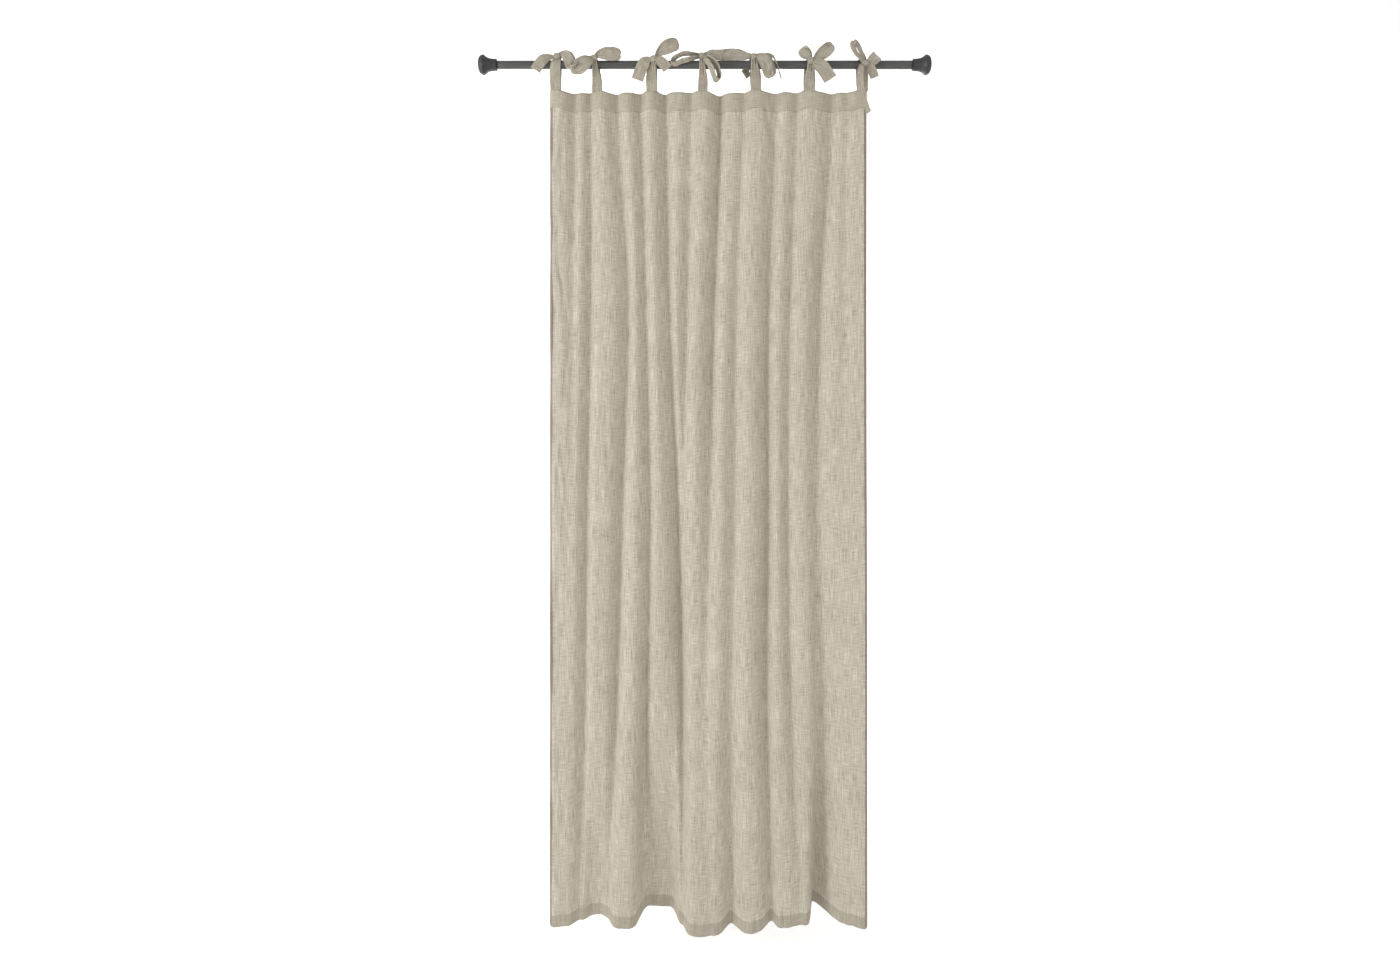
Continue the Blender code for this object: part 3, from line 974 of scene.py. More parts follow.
    def cloth_rows(self) -> np.ndarray:
        """Lists the rows: fine over the header and the hem, even between them."""
        header = self.header_depth / self.drop
        hem = 1 - self.hem_depth / self.drop
        middle = np.linspace(header, hem, self.rows - 2 * self.band_rows)
        top = np.linspace(0, header, self.band_rows + 1)[:-1]
        return np.concatenate([top, middle, np.linspace(hem, 1, self.band_rows + 1)[1:]])

    def build(self) -> None:
        """Builds the cloth, its bands, hems and stitching, and hangs them on the frame."""
        shares = self.cloth_rows()
        side = self.thread_share(self.side_hem)
        last = self.columns - 1
        slots = np.full((len(shares) - 1, last), ClothSlot.SINGLE.value)
        # Painted shade: the doubled header rows take the darker copy of the linen.
        slots[: self.band_rows] = ClothSlot.DOUBLE.value
        # Painted shade: the hem rows take the darker hem copy of the linen.
        slots[-self.band_rows :] = ClothSlot.HEM.value
        # Painted shade: the outer columns at both sides take the darkest copy of the linen.
        slots[:, : self.edge_columns] = ClothSlot.EDGE.value
        slots[:, -self.edge_columns :] = ClothSlot.EDGE.value
        of_slot = {
            ClothSlot.SINGLE: self.finishes.linen,
            ClothSlot.DOUBLE: self.finishes.double_linen_painted_shade,
            ClothSlot.EDGE: self.finishes.edge_fold_painted_shade,
            ClothSlot.HEM: self.finishes.hem_linen_painted_shade,
        }
        materials = [of_slot[slot] for slot in ClothSlot]
        # The darker, painted-shade copy of the linen, for the header band and the side hems.
        double = [self.finishes.double_linen_painted_shade]
        whole, inner = slice(None), slice(side, last - side + 1)
        top, bottom = shares[: self.band_rows + 1], shares[-self.band_rows - 1 :]
        cloth = self.add_layer("linen_cloth", shares, whole, 0.0, materials, slots)
        band = self.add_layer("linen_header_band", top, whole, 1.0, double)
        hem = self.add_layer("linen_bottom_hem", bottom, inner, -1.0, [self.finishes.hem_linen_painted_shade])
        edges = {Side.LEFT: slice(0, side + 1), Side.RIGHT: slice(last - side, last + 1)}
        hems = [
            self.add_layer(f"linen_side_hem_{end.name.lower()}", shares, columns, -1.0, double)
            for end, columns in edges.items()
        ]
        pairs = {cloth: "panel_cloth", band: "header_band", hem: "bottom_hem"}
        pairs |= dict(zip(hems, ("side_hem_left", "side_hem_right")))
        for piece, node in pairs.items():
            self.hang(piece)
            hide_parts(node)
        stitches = self.stitch_rows()
        for piece in stitches:
            self.hang(piece)

    def hang(self, piece: bpy.types.Object) -> None:
        """Sets a piece to ride with the panel and gives it its own mesh."""
        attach(piece, "panel")
        gather(piece)
        self.pieces.append(piece)

    def stitch_rows(self) -> list[bpy.types.Object]:
        """Makes the four rows of stitches that show: header, bottom hem and side hems.

        Returns:
            The four pieces.
        """
        header = (self.header_depth - self.stitch_inset) / self.drop
        hem = 1 - (self.hem_depth - self.stitch_inset) / self.drop
        count = round(self.flat_width / self.stitch_step)
        on_band, on_cloth = 1.6, 0.4
        lines = {
            "stitches_header": (self.sheet(np.array([header]), count)[0], on_band),
            "stitches_bottom_hem": (self.sheet(np.array([hem]), count)[0], on_cloth),
        }
        shares = np.linspace(0.004, 0.998, round(self.flat_length / self.side_stitch_step))
        sheet = self.sheet(shares, self.columns)
        side = self.thread_share(self.side_hem) - 1
        lines["stitches_side_left"] = (sheet[:, side], on_cloth)
        lines["stitches_side_right"] = (sheet[:, -1 - side], on_cloth)
        return [self.stitches(name, line, lift) for name, (line, lift) in lines.items()]

    def stitches(self, name: str, line: np.ndarray, lift: float) -> bpy.types.Object:
        """Makes a row of small thread loops along a line of the cloth.

        Each stitch is a four-sided bar over 62 percent of the space to the next, tapered
        at both ends, and lies lift layers in front of the cloth.

        Args:
            name: The piece's name.
            line: One point for each stitch.
            lift: Layer steps to the front.

        Returns:
            The new object.
        """
        ahead = np.gradient(line, axis=0)
        way = unit(ahead)
        front = unit(np.cross(np.cross(way, [0.0, -1.0, 0.0]), way))
        beside = np.cross(way, front)
        length = np.linalg.norm(ahead, axis=1)[:, None]
        stations = np.array([-0.31, -0.16, 0.16, 0.31])
        girth = np.array([0.25, 1.0, 1.0, 0.25]) * self.thread_radius
        angle = np.linspace(0, 2 * math.pi, 4, endpoint=False) + math.pi / 4
        centre = line + front * (lift * self.layer_step)
        rings = (
            centre[:, None, None]
            + way[:, None, None] * length[:, None, None] * stations[:, None, None]
            + front[:, None, None] * (girth[:, None] * np.cos(angle) * 0.8)[..., None]
            + beside[:, None, None] * (girth[:, None] * np.sin(angle))[..., None]
        )
        one = grid_quads(4, 4, False, True)
        caps = np.array([[3, 2, 1, 0], [12, 13, 14, 15]])
        one = np.vstack([one, caps])
        faces = one[None] + np.arange(len(line))[:, None, None] * 16
        mesh = bpy.data.meshes.new(name)
        mesh.from_pydata(rings.reshape(-1, 3).tolist(), [], faces.reshape(-1, 4).tolist())
        mesh.materials.append(self.finishes.thread)
        layer = mesh.uv_layers.new(name="cloth")
        places = rings.reshape(-1, 3)[faces.ravel()][:, [0, 2]]
        layer.uv.foreach_set("vector", places.astype(np.float32).ravel())
        mesh.update()
        piece = bpy.data.objects.new(name, mesh)
        bpy.context.scene.collection.objects.link(piece)
        return piece


# ------------------------------------------------------------------ ribbon ties


@dataclass(frozen=True)
class Loop:
    """A bow loop, in millimetres from the knot's middle.

    line is its middle line in the plane of the panel. opening is half the space inside
    it, fan how far its two layers slide apart in the plane of the panel, and forward how
    far its tip moves back, so a number below 0 brings it to the front. edge_on turns its
    width to the front, and lean turns it back by so many degrees. root is where it leaves
    the knot, as (y, z). tip is how much the corners of its tip are rounded off.
    """

    name: str
    side: Side
    line: tuple[tuple[float, float], ...]
    width: float = 28.0
    opening: float = 6.0
    forward: float = 0.0
    edge_on: bool = False
    root: tuple[float, float] = (0.0, 2.5)
    fan: float = 4.0
    lean: float = 0.0
    tip: float = 0.35


@dataclass(frozen=True)
class Tail:
    """A loose ribbon end, in millimetres from the knot's middle.

    across_start and across_end are the ways of its width at the knot and at its cut end,
    and root is where it leaves the knot, as (y, z).
    """

    name: str
    side: Side
    line: tuple[tuple[float, float, float], ...]
    across_start: tuple[float, float, float] = (0, 0, 1)
    across_end: tuple[float, float, float] = (0, 0, 1)
    width: float = 28.0
    root: tuple[float, float] = (-4.2, -3.5)


@dataclass(frozen=True)
class Bow:
    """One knot's middle from the rod's axis, in millimetres, and what leaves the knot.

    strap is the strap's width at the seam and at the knot, and the share of its length
    at which it begins to narrow.
    """

    knot: tuple[float, float, float]
    loops: tuple[Loop, ...] = ()
    tails: tuple[Tail, ...] = ()
    strap: tuple[float, float, float] = (30.0, 16.0, 0.35)


BOWS = (
    Bow(
        (4, -8.5, 22),
        (Loop("right_loop", Side.RIGHT, ((18, 5), (34, -4), (44, -36)), 29, 6, -5, fan=3),),
        (
            Tail("left_tail", Side.LEFT, ((-26, -8, -5), (-44, -13, -18), (-63, -14, -46)),
                 (0, 0, 1), (-0.78, 0, 0.62), 31),
        ),
        (31.0, 24.0, 0.6),
    ),
    Bow(
        (-7, -15, 14),
        (
            Loop("left_loop", Side.LEFT, ((-15, -9), (-39, -28), (-66, -44)), 32, 6, -17,
                 fan=8, tip=0.55),
            Loop("right_loop", Side.RIGHT, ((16, 12), (46, 14), (80, 9)), 31, 8, fan=7,
                 tip=0.5),
        ),
        strap=(29.0, 14.0, 0.1),
    ),
    Bow(
        (6, -21, 9),
        (
            Loop("right_loop", Side.RIGHT, ((21, 22), (45, 38), (74, 47)), 33, 12, fan=8,
                 tip=0.5),
        ),
        (
            Tail("left_tail", Side.LEFT, ((-17, -4, -4), (-32, -6, -20), (-49, -6, -64)),
                 (0, 0, 1), (-0.85, 0, 0.52), 34),
            Tail("right_tail", Side.RIGHT, ((12, -7, -6), (26, -8, -14), (42, -8, -32)),
                 (0, 0, 1), (0.72, 0, 0.69), 30),
        ),
        (32.0, 16.0, 0.4),
    ),
    Bow(
        (-3, -8.5, 23),
        (
            Loop("left_loop", Side.LEFT, ((-30, -6), (-60, -13), (-90, -29)), 17, 17, -19, True,
                 lean=-30, fan=0, tip=0.2),
            Loop("right_loop", Side.RIGHT, ((18, 3), (38, 4), (61, 4)), 29, 5, fan=1, tip=0.1),
            Loop("hanging_loop", Side.RIGHT, ((18, -18), (38, -46), (47, -84)), 25, 17, -23,
                 True, (-4.4, -5.2), lean=-28, fan=0, tip=0.1),
        ),
        strap=(28.0, 14.0, 0.2),
    ),
    Bow(
        (-5, -8.5, 21),
        (
            Loop("left_loop", Side.LEFT, ((-28, 3), (-60, 7), (-95, 4)), 32, 6, fan=2, tip=0.1),
            Loop("right_loop", Side.RIGHT, ((17, -5), (35, -28), (47, -70)), 32, 7, -22, fan=5,
                 tip=0.45),
        ),
        (
            Tail("right_tail", Side.RIGHT,
                 ((30, -4, 3), (53, -14, -7), (67, -16, -33), (77, -16, -70)),
                 (0, 0, 1), (0.35, 0.93, 0), 16, (4.5, 4.5)),
            Tail("left_tail", Side.LEFT,
                 ((-13, 14, 2), (-13, 27, -10), (-15, 28, -30), (-31, 26, -44)),
                 (0, 0, 1), (0.5, 0, 0.8), 26, (4.5, -3)),
        ),
        (31.0, 19.0, 0.35),
    ),
    Bow(
        (3, -21, 3),
        (
            Loop("left_loop", Side.LEFT, ((-7, 12), (-17, 25), (-26, 39)), 31, 8, fan=3,
                 tip=0.25),
            Loop("right_loop", Side.RIGHT, ((20, 10), (42, 29), (65, 50)), 30, 9, fan=5,
                 tip=0.5),
        ),
        (
            Tail("right_tail", Side.RIGHT, ((14, -8, -9), (34, -10, -24), (57, -10, -58)),
                 (0, 0, 1), (0.76, 0, 0.65), 40),
        ),
        (32.0, 19.0, 0.35),
    ),
    Bow(
        (5, -22.5, -6),
        (
            Loop("left_loop", Side.LEFT, ((-9, 18), (-24, 41), (-34, 68)), 16, 9, fan=9,
                 lean=20, tip=0.3),
        ),
        (
            Tail("upper_tail", Side.RIGHT, ((13, 0, 5), (24, -2, 12), (36, -3, 24)),
                 (0, 0, 1), (-0.85, 0, 0.52), 32, (0.0, 3)),
            Tail("lower_tail", Side.RIGHT, ((13, -3, -9), (19, -5, -22), (27, -6, -43)),
                 (0, 0, 1), (0.62, 0, 0.78), 26, (-2, -4.5)),
            Tail("long_tail", Side.LEFT,
                 ((-13, -10, -14), (-17, -14, -50), (-10, -13, -94), (10, -9, -147)),
                 (0.85, -0.2, -0.4), (0.4, -0.9, 0), 24, (-3, -3.5)),
        ),
        (31.0, 20.0, 0.5),
    ),
)


@dataclass
class RibbonTie:
    """One ribbon tie: a strap in front of the rod, one behind it, a knot and its bow.

    seat is how far back the cloth's top edge lies where the straps are sewn into it, and
    seam_tuck how far they reach into it. rounding_loss makes up for the width that the
    subdivision takes. A loop or a tail leaves the knot root_width wide, at root_share of
    the knot's half width.
    """

    number: int
    place: float
    bow: Bow
    finishes: Finishes
    seat: float = 0.0
    root_width: float = 0.010
    ribbon_thickness: float = 0.9 * MM
    rod_clearance: float = 3.2 * MM
    seam_tuck: float = 0.007
    knot_half: tuple[float, float, float] = (0.0095, 0.0080, 0.0100)
    root_share: float = 0.45
    rounding_loss: float = 1.07
    pleats: int = 3
    strap_pleat: float = 0.0020
    bow_pleat: float = 0.0023
    bow_curl: float = 0.05
    front_curl: float = 0.012
    back_curl: float = 0.028
    crinkle_length: float = 0.012
    crinkle_height: float = 0.0019
    flat_width: float = 0.028
    along: int = 44
    across: int = 13

    def __post_init__(self) -> None:
        """Reads the rod's size from the frame and places the knot."""
        low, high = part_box("rod_tube")
        self.rod_radius = (high[2] - low[2]) / 2
        self.wrap_radius = self.rod_radius + self.rod_clearance
        self.seam_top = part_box(f"tie_{self.number}_front_strap")[0][2]
        self.knot = np.array(self.bow.knot) * MM

    @property
    def body(self) -> str:
        """The frame body that the tie rides on: the first is sewn fast to the panel."""
        return "panel" if self.number == 1 else f"tie_{self.number}"

    def build(self) -> None:
        """Builds the straps, the knot, the loops and the tails."""
        self.add_strap("front_strap", self.front_line(), self.front_curl)
        self.add_strap("back_strap", self.back_line(), self.back_curl)
        self.add_knot()
        for loop in self.bow.loops:
            self.add_loop(loop)
        for tail in self.bow.tails:
            self.add_tail(tail)

    def ribbon(
        self,
        name: str,
        middle: np.ndarray,
        across: np.ndarray,
        width: np.ndarray,
        pleat: np.ndarray,
        curl: float,
        seed: int,
        corners: np.ndarray | float = 0.0,
    ) -> None:
        """Makes a ribbon: its width laid across its middle line, pleated and curled.

        A point at share v of the width lies at middle + across * width * (v - 1/2), moved
        along the normal by the pleats' cosine, by a curl that grows with (2v - 1)^2 and by
        smooth noise, and by corners times (2v - 1)^2.

        Args:
            name: The piece's name, after the tie's.
            middle: The middle line's points.
            across: The way of the width at each point.
            width: The ribbon's width at each point.
            pleat: Height of the pleats at each point.
            curl: How far the edges turn over, as a share of the width.
            seed: Which noise to use.
            corners: How far both edges move at each point, as vectors.
        """
        width = width * self.rounding_loss
        ahead = unit(np.gradient(middle, axis=0))
        square = unit(across - ahead * np.sum(across * ahead, axis=1, keepdims=True))
        normal = np.cross(ahead, square)
        v = np.linspace(0, 1, self.across)
        run = length_along(middle)
        to_edge = (2 * v - 1) ** 2
        waves = np.cos(2 * math.pi * self.pleats * v)[None] * pleat[:, None]
        edges = curl * width[:, None] * (to_edge - 0.33)[None]
        noise = smooth_noise(run[:, None] / self.crinkle_length, v[None] * 2.6 + seed, seed)
        out = waves + edges + noise * self.crinkle_height
        points = (
            middle[:, None]
            + square[:, None] * (width[:, None] * (v - 0.5)[None])[..., None]
            + normal[:, None] * out[..., None]
            + np.broadcast_to(corners, middle.shape)[:, None] * to_edge[None, :, None]
        )
        points[..., 0] += self.place
        flat_u = (v - 0.5)[None] * np.maximum(width, self.flat_width)[:, None] + seed * 0.31
        uv = np.stack(np.broadcast_arrays(flat_u, run[:, None]), axis=-1)
        piece = surface_object(f"ribbon_{self.number}_{name}", points, [self.finishes.ribbon], uv)
        solidify(piece, self.ribbon_thickness)
        subdivide(piece)
        self.finish(piece, name)

    def finish(self, piece: bpy.types.Object, node: str) -> None:
        """Sets a piece to ride on the tie's body in place of its frame node."""
        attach(piece, self.body)
        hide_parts(f"tie_{self.number}_{node}")
        if node in ("front_strap", "back_strap"):
            gather(piece)
        elif node != "knot":
            gather(piece)

    def add_strap(self, name: str, line: list[tuple[float, float]], curl: float) -> None:
        """Makes a strap along a line of (y, z) points, drawn in towards the knot.

        Args:
            name: The strap's node name, after the tie's.
            line: Points from the header seam to the knot.
            curl: How far the strap's edges turn over, as a share of its width.
        """
        share = np.linspace(0, 1, self.along)
        points = smooth_through(np.array(line), share)
        run = length_along(points)
        run = run / run[-1]
        seam_width, neck_width, start = self.bow.strap
        narrow = eased((run - start) / (0.97 - start))
        sway = np.sin(run * math.pi) * 0.0012 * (-1) ** self.number
        middle = np.stack([self.knot[0] * narrow + sway, points[:, 0], points[:, 1]], axis=1)
        across = np.tile([1.0, 0.0, 0.0], (self.along, 1))
        width = (seam_width + (neck_width - seam_width) * narrow) * MM
        pleat = self.strap_pleat * eased((run - start) / 0.6)
        self.ribbon(name, middle, across, width, pleat, curl, self.number * 7 + 1)

    def opened(self, full_mm: float, way: np.ndarray) -> np.ndarray:
        """Widens a ribbon from its root at the knot to full_mm at 0.62 of the way out."""
        return self.root_width + (full_mm * MM - self.root_width) * eased(way / 0.62)

    def wrap(self, first: float, last: float, count: int) -> list[tuple[float, float]]:
        """Lists points round the rod between two angles, 0 in front and 90 on top."""
        angles = np.radians(np.linspace(first, last, count))
        radius = self.wrap_radius
        return [(-radius * math.cos(a), radius * math.sin(a)) for a in angles]

    def front_line(self) -> list[tuple[float, float]]:
        """Lists the front strap's points: up from the seam, over the rod's front, to the knot."""
        seam = (self.seat - 0.0002, self.seam_top + self.seam_tuck)
        into = (self.knot[1], self.knot[2] - 0.004)
        if into[0] < -self.wrap_radius - 0.002:
            low = (into[0] * 0.55, self.seam_top * 0.55)
            return [seam, low, (into[0] * 0.9, self.seam_top * 0.25), into]
        return [seam, (-0.007, self.seam_top * 0.6), *self.wrap(-20, 35, 3), into]

    def back_line(self) -> list[tuple[float, float]]:
        """Lists the back strap's points: up behind the rod and over its top to the knot."""
        seam = (self.seat + 0.0012, self.seam_top + self.seam_tuck)
        last = 105 if self.knot[2] > self.rod_radius / 2 else 62
        into = (self.knot[1], self.knot[2] + 0.001)
        return [seam, (0.007, self.seam_top * 0.6), *self.wrap(196, last, 6), into]

    def add_knot(self) -> None:
        """Makes the knot: a squarish lump with the turns of the ribbon round it.

        A superellipsoid, with ridges that run slantwise round it as the ribbon's turns and soft
        random lumps.
        """
        rows, columns = 40, 56
        tilt = np.linspace(-math.pi / 2, math.pi / 2, rows)[:, None]
        turn = np.linspace(0, 2 * math.pi, columns, endpoint=False)[None]

        def squared(value: np.ndarray) -> np.ndarray:
            """Squares off a sine or cosine by a power of 0.7, keeping its sign."""
            return np.sign(value) * np.abs(value) ** 0.7

        side = squared(np.cos(tilt)) * squared(np.cos(turn))
        front = squared(np.cos(tilt)) * squared(np.sin(turn))
        up = squared(np.sin(tilt)) * np.ones_like(turn)
        slant = up * 2.4 + side * 1.1 * (-1) ** self.number
        ridges = 1 + 0.055 * np.sin(slant * 3.4) + 0.03 * np.sin(slant * 8.0 + self.number)
        lumps = 1 + 0.07 * smooth_noise(side * 1.6 + 4, front * 1.5 + up * 1.4, 40 + self.number)
        size = np.array(self.knot_half)
        points = np.stack([side * size[0], front * size[1], up * size[2]], axis=-1)
        points = points * (ridges * lumps)[..., None]
        points = points + self.knot + np.array([self.place, 0.0, 0.0])
        uv = np.stack(np.broadcast_arrays(turn * size[0] * 1.4, tilt * size[2] * 1.6), axis=-1)
        piece = surface_object(
            f"ribbon_{self.number}_knot", points, [self.finishes.ribbon], uv, round_columns=True
        )
        self.finish(piece, "knot")

    def add_loop(self, loop: Loop) -> None:
        """Makes a bow loop: out along its line on one side, round its tip, and back.

        At share t of the loop, the middle line is read at 1 - (2t - 1)^2 and moved
        sideways by -cos(pi t) times a spread that swells as sin(pi t), and in the plane
        of the panel by the fan times sin(2 pi t).

        Args:
            loop: The loop's shape.
        """
        turn = np.linspace(0, 1, self.along * 2 - 1)
        out = 1 - (2 * turn - 1) ** 2
        from_side = loop.side.value * self.knot_half[0] * self.root_share
        root = np.array([from_side, loop.root[1] * MM])
        line = np.vstack([root, np.array(loop.line) * MM])
        flat = smooth_through(line, out)
        ahead = smooth_through(line, out + 0.02) - smooth_through(line, out - 0.02)
        zeros = np.zeros(len(turn))
        outward = unit(np.stack([ahead[:, 0], zeros, ahead[:, 1]], axis=1))
        in_plane = np.stack([-outward[:, 2], zeros, outward[:, 0]], axis=1) * loop.side.value
        to_back = np.tile([0.0, 1.0, 0.0], (len(turn), 1))
        spread_way = in_plane if loop.edge_on else to_back
        across = to_back if loop.edge_on else in_plane
        lean = math.radians(loop.lean)
        across = across * math.cos(lean) + spread_way * math.sin(lean)
        closed = 1.2
        swell = (closed + (loop.opening - closed) * np.sin(math.pi * turn) ** 0.8) * MM
        depth = loop.root[0] * MM + loop.forward * MM * eased(out / 0.5)
        middle = np.stack([flat[:, 0], depth, flat[:, 1]], axis=1)
        middle = middle - spread_way * (np.cos(math.pi * turn) * swell)[:, None] + self.knot
        middle = middle - in_plane * (np.sin(2 * math.pi * turn) * loop.fan * MM)[:, None]
        width = self.opened(loop.width, out)
        pleat = self.bow_pleat * (1 - eased(out / 0.8))
        corners = -outward * (loop.tip * width * eased((out - 0.55) / 0.45))[:, None]
        seed = self.number * 7 + len(loop.name)
        self.ribbon(loop.name, middle, across, width, pleat, self.bow_curl, seed, corners)

    def add_tail(self, tail: Tail) -> None:
        """Makes a loose end from the knot to its square cut end.

        Args:
            tail: The tail's shape.
        """
        share = np.linspace(0, 1, self.along)
        root = (tail.side.value * self.knot_half[0] / MM * self.root_share, *tail.root)
        line = np.vstack([root, np.array(tail.line)]) * MM
        middle = smooth_through(line, share) + self.knot
        blend = eased(share)[:, None]
        across = np.array(tail.across_start) * (1 - blend) + np.array(tail.across_end) * blend
        width = self.opened(tail.width, share)
        pleat = self.bow_pleat * (1 - eased(share / 0.85))
        seed = self.number * 7 + 3 + len(tail.name)
        self.ribbon(tail.name, middle, across, width, pleat, self.bow_curl, seed)


# ------------------------------------------------------------------ rod and finials


@dataclass
class CurtainRod:
    """The rod and its two flared finials, turned finely over the frame's plain ones."""

    finishes: Finishes
    edge_break: float = 0.4 * MM
    wall: float = 1.2 * MM
    tube_rings: int = 40

    def build(self) -> None:
        """Builds the tube and both finials and dresses the hidden plugs."""
        low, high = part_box("rod_tube")
        radius = (high[2] - low[2]) / 2
        self.add_tube(high[0], radius)
        for side in Side:
            self.add_finial(side)
            plug = bpy.data.objects[f"finial_plug_{side.name.lower()}"]
            for slot in plug.material_slots:
                slot.material = self.finishes.nylon

    def add_tube(self, half: float, radius: float) -> None:
        """Makes the tube: outer wall, broken edges and bore, as one closed profile.

        Args:
            half: Half the rod's length.
            radius: The rod's outer radius.
        """
        bore = radius - self.wall
        cut = self.edge_break
        body = np.linspace(-half + cut, half - cut, self.tube_rings)
        along = np.concatenate([body, [half, half], body[::-1], [-half, -half]])
        ends = [radius - cut, bore + cut / 2]
        outer, inner = np.full_like(body, radius), np.full_like(body, bore)
        around = np.concatenate([outer, ends, inner, ends[::-1]])
        tube = turned_object("painted_rod", along, around, self.finishes.rod_paint, True)
        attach(tube, "rod")
        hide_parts("rod_tube")

    def finial_profile(self) -> np.ndarray:
        """Gives the finial's outline from the rod outwards, as (distance, radius) in mm.

        A beaded collar, a flare whose radius is 17.5 + 1.8 s + 10.3 s^3.2 at share s of
        its length, a round rim, a shoulder that is part of an ellipse, and a flat end.
        """
        collar = [(0.0, 8.6), (0.0, 16.6), (0.3, 17.4), (1.0, 17.8), (3.2, 17.8), (4.2, 17.4),
                  (4.6, 16.9), (5.2, 16.7), (5.9, 17.0)]
        share = np.linspace(0, 1, 22)
        flare = np.stack([6.4 + 31.2 * share, 17.5 + 1.8 * share + 10.3 * share**3.2], axis=1)
        lean = np.radians(np.linspace(-62, 62, 9))
        rim = np.stack([39.2 + 1.4 * np.sin(lean), 28.7 + 1.3 * np.cos(lean)], axis=1)
        dome = np.radians(np.linspace(14, 80, 14))
        shoulder = np.stack([40.9 + 13.2 * np.sin(dome), 12.8 + 15.8 * np.cos(dome)], axis=1)
        face = [(54.45, 14.6), (54.7, 13.9), (54.7, 0.05)]
        return np.vstack([collar, flare, rim, shoulder, face])

    def add_finial(self, side: Side) -> None:
        """Makes one finial, with a blind socket in its flat end for the plug's head.

        Args:
            side: Which end of the rod.
        """
        node = f"finial_{side.name.lower()}"
        low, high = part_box(node)
        base = low[0] if side is Side.RIGHT else high[0]
        outline = self.finial_profile() * MM
        socket = np.array([[12.3, 0.05], [12.3, 8.3], [0.4, 8.3]]) * MM
        outline = np.vstack([socket, outline])
        along = base + side.value * outline[:, 0]
        order = slice(None, None, -side.value)
        finial = turned_object(
            f"painted_{node}", along[order], outline[order, 1], self.finishes.finial_paint
        )
        subdivide(finial)
        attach(finial, node)
        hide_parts(node)


# ------------------------------------------------------------------ studio


@dataclass(frozen=True)
class SoftLight:
    """A square soft light: its place, the point it faces, its side and its watts."""

    name: str
    place: tuple[float, float, float]
    aim: tuple[float, float, float]
    size: float
    power: float

    def add(self) -> None:
        """Adds the light, hidden from the camera."""
        data = bpy.data.lights.new(f"light_{self.name}", "AREA")
        data.size = self.size
        data.energy = self.power
        light = bpy.data.objects.new(f"light_{self.name}", data)
        light.location = self.place
        light.visible_camera = False
        way = np.array(self.aim) - np.array(self.place)
        light.rotation_euler = (
            math.pi / 2 + math.atan2(way[2], math.hypot(way[0], way[1])),
            0.0,
            math.atan2(way[1], way[0]) - math.pi / 2,
        )
        bpy.context.scene.collection.objects.link(light)


LIGHTS = (
    SoftLight("key", (-4.2, -2.2, -0.6), (0.0, 0.0, -1.2), 1.6, 138.0),
    SoftLight("fill", (3.2, -3.4, 0.2), (0.0, 0.0, -1.3), 2.6, 40.0),
    SoftLight("behind", (-1.2, 2.2, -0.4), (-0.6, 5.0, -1.2), 3.0, 160.0),
)


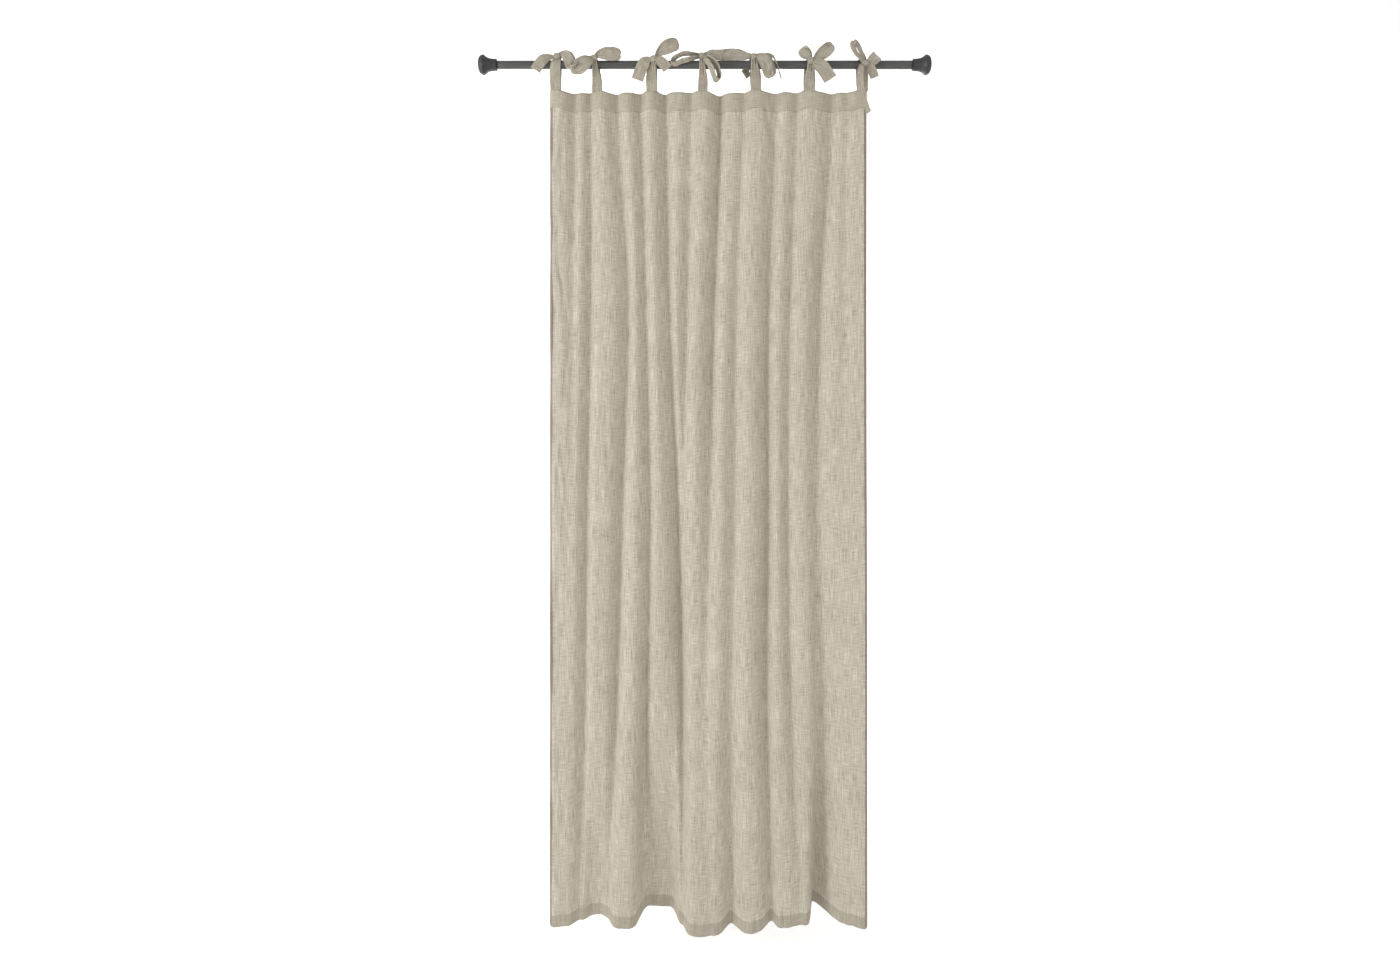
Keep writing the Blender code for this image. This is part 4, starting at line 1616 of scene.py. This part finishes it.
@dataclass
class Studio:
    """A white paper sweep, soft lights and the camera."""

    middle_x: float = -0.014
    eye_height: float = -1.237
    distance: float = 3.1
    view_width: float = 4.172
    sensor_mm: float = 36.0
    far_clip: float = 60.0
    floor_gap: float = 0.10
    floor_reach: float = 16.0
    wall_y: float = 4.2
    wall_height: float = 8.0
    bend_radius: float = 1.2
    room_light: float = 0.82

    def build(self) -> None:
        """Builds the sweep, the lights and the camera."""
        low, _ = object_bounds()
        bpy.context.scene.view_settings.view_transform = "Standard"
        self.add_sweep(low[2] - self.floor_gap)
        self.add_world()
        for light in LIGHTS:
            light.add()
        self.add_camera()

    def add_sweep(self, floor: float) -> None:
        """Makes the paper: a floor, a quarter circle and a wall behind the curtain.

        Args:
            floor: Z of the floor.
        """
        radius, wall_y = self.bend_radius, self.wall_y
        bend = np.linspace(0, math.pi / 2, 24)
        bend_y = wall_y - radius + radius * np.sin(bend)
        y = np.concatenate([[-self.floor_reach], bend_y, [wall_y]])
        z = np.concatenate([[0.0], radius - radius * np.cos(bend), [self.wall_height]]) + floor
        x = np.linspace(-self.floor_reach, self.floor_reach, 3)
        points = np.stack(np.broadcast_arrays(x[None], y[:, None], z[:, None]), axis=-1)
        sweep = surface_object("studio_sweep", points, [StudioWhite().material()])
        sweep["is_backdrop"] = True

    def add_world(self) -> None:
        """Lights the whole room softly and evenly white."""
        world = bpy.data.worlds.new("studio")
        world.use_nodes = True
        background = world.node_tree.nodes["Background"]
        background.inputs["Color"].default_value = (1.0, 1.0, 1.0, 1.0)
        background.inputs["Strength"].default_value = self.room_light
        bpy.context.scene.world = world

    def add_camera(self) -> None:
        """Adds the camera straight in front, level with the middle of the drop."""
        data = bpy.data.cameras.new("camera")
        data.sensor_width = self.sensor_mm
        data.lens = self.sensor_mm * self.distance / self.view_width
        data.clip_end = self.far_clip
        camera = bpy.data.objects.new("camera", data)
        camera.location = (self.middle_x, -self.distance, self.eye_height)
        camera.rotation_euler = (math.pi / 2, 0.0, 0.0)
        bpy.context.scene.collection.objects.link(camera)
        bpy.context.scene.camera = camera


def main() -> None:
    """Builds every sub-assembly on the loaded frame and reports each."""
    logging.basicConfig(level=logging.INFO, format="%(name)s: %(message)s")
    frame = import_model()
    Studio().build()
    LOG.info("studio ready over %d frame nodes", len(frame["nodes"]))
    finishes = Finishes.mixed()
    CurtainRod(finishes).build()
    LOG.info("rod and finials dressed")
    straps = [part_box(f"tie_{number}_back_strap") for number in range(1, TIE_COUNT + 1)]
    ties = [(low[0] + high[0]) / 2 for low, high in straps]
    panel = LinenPanel(finishes, ties=tuple(ties))
    panel.build()
    LOG.info("panel hung in %d pieces", len(panel.pieces))
    top_edge = panel.sheet(np.array([0.0]), panel.columns)[0]
    seats = np.interp(ties, top_edge[:, 0], top_edge[:, 1]).tolist()
    for number, (place, bow, seat) in enumerate(zip(ties, BOWS, seats), start=1):
        RibbonTie(number, place, bow, finishes, seat).build()
        LOG.info("tie %d knotted with %d loops", number, len(bow.loops))


if __name__ == "__main__":
    main()
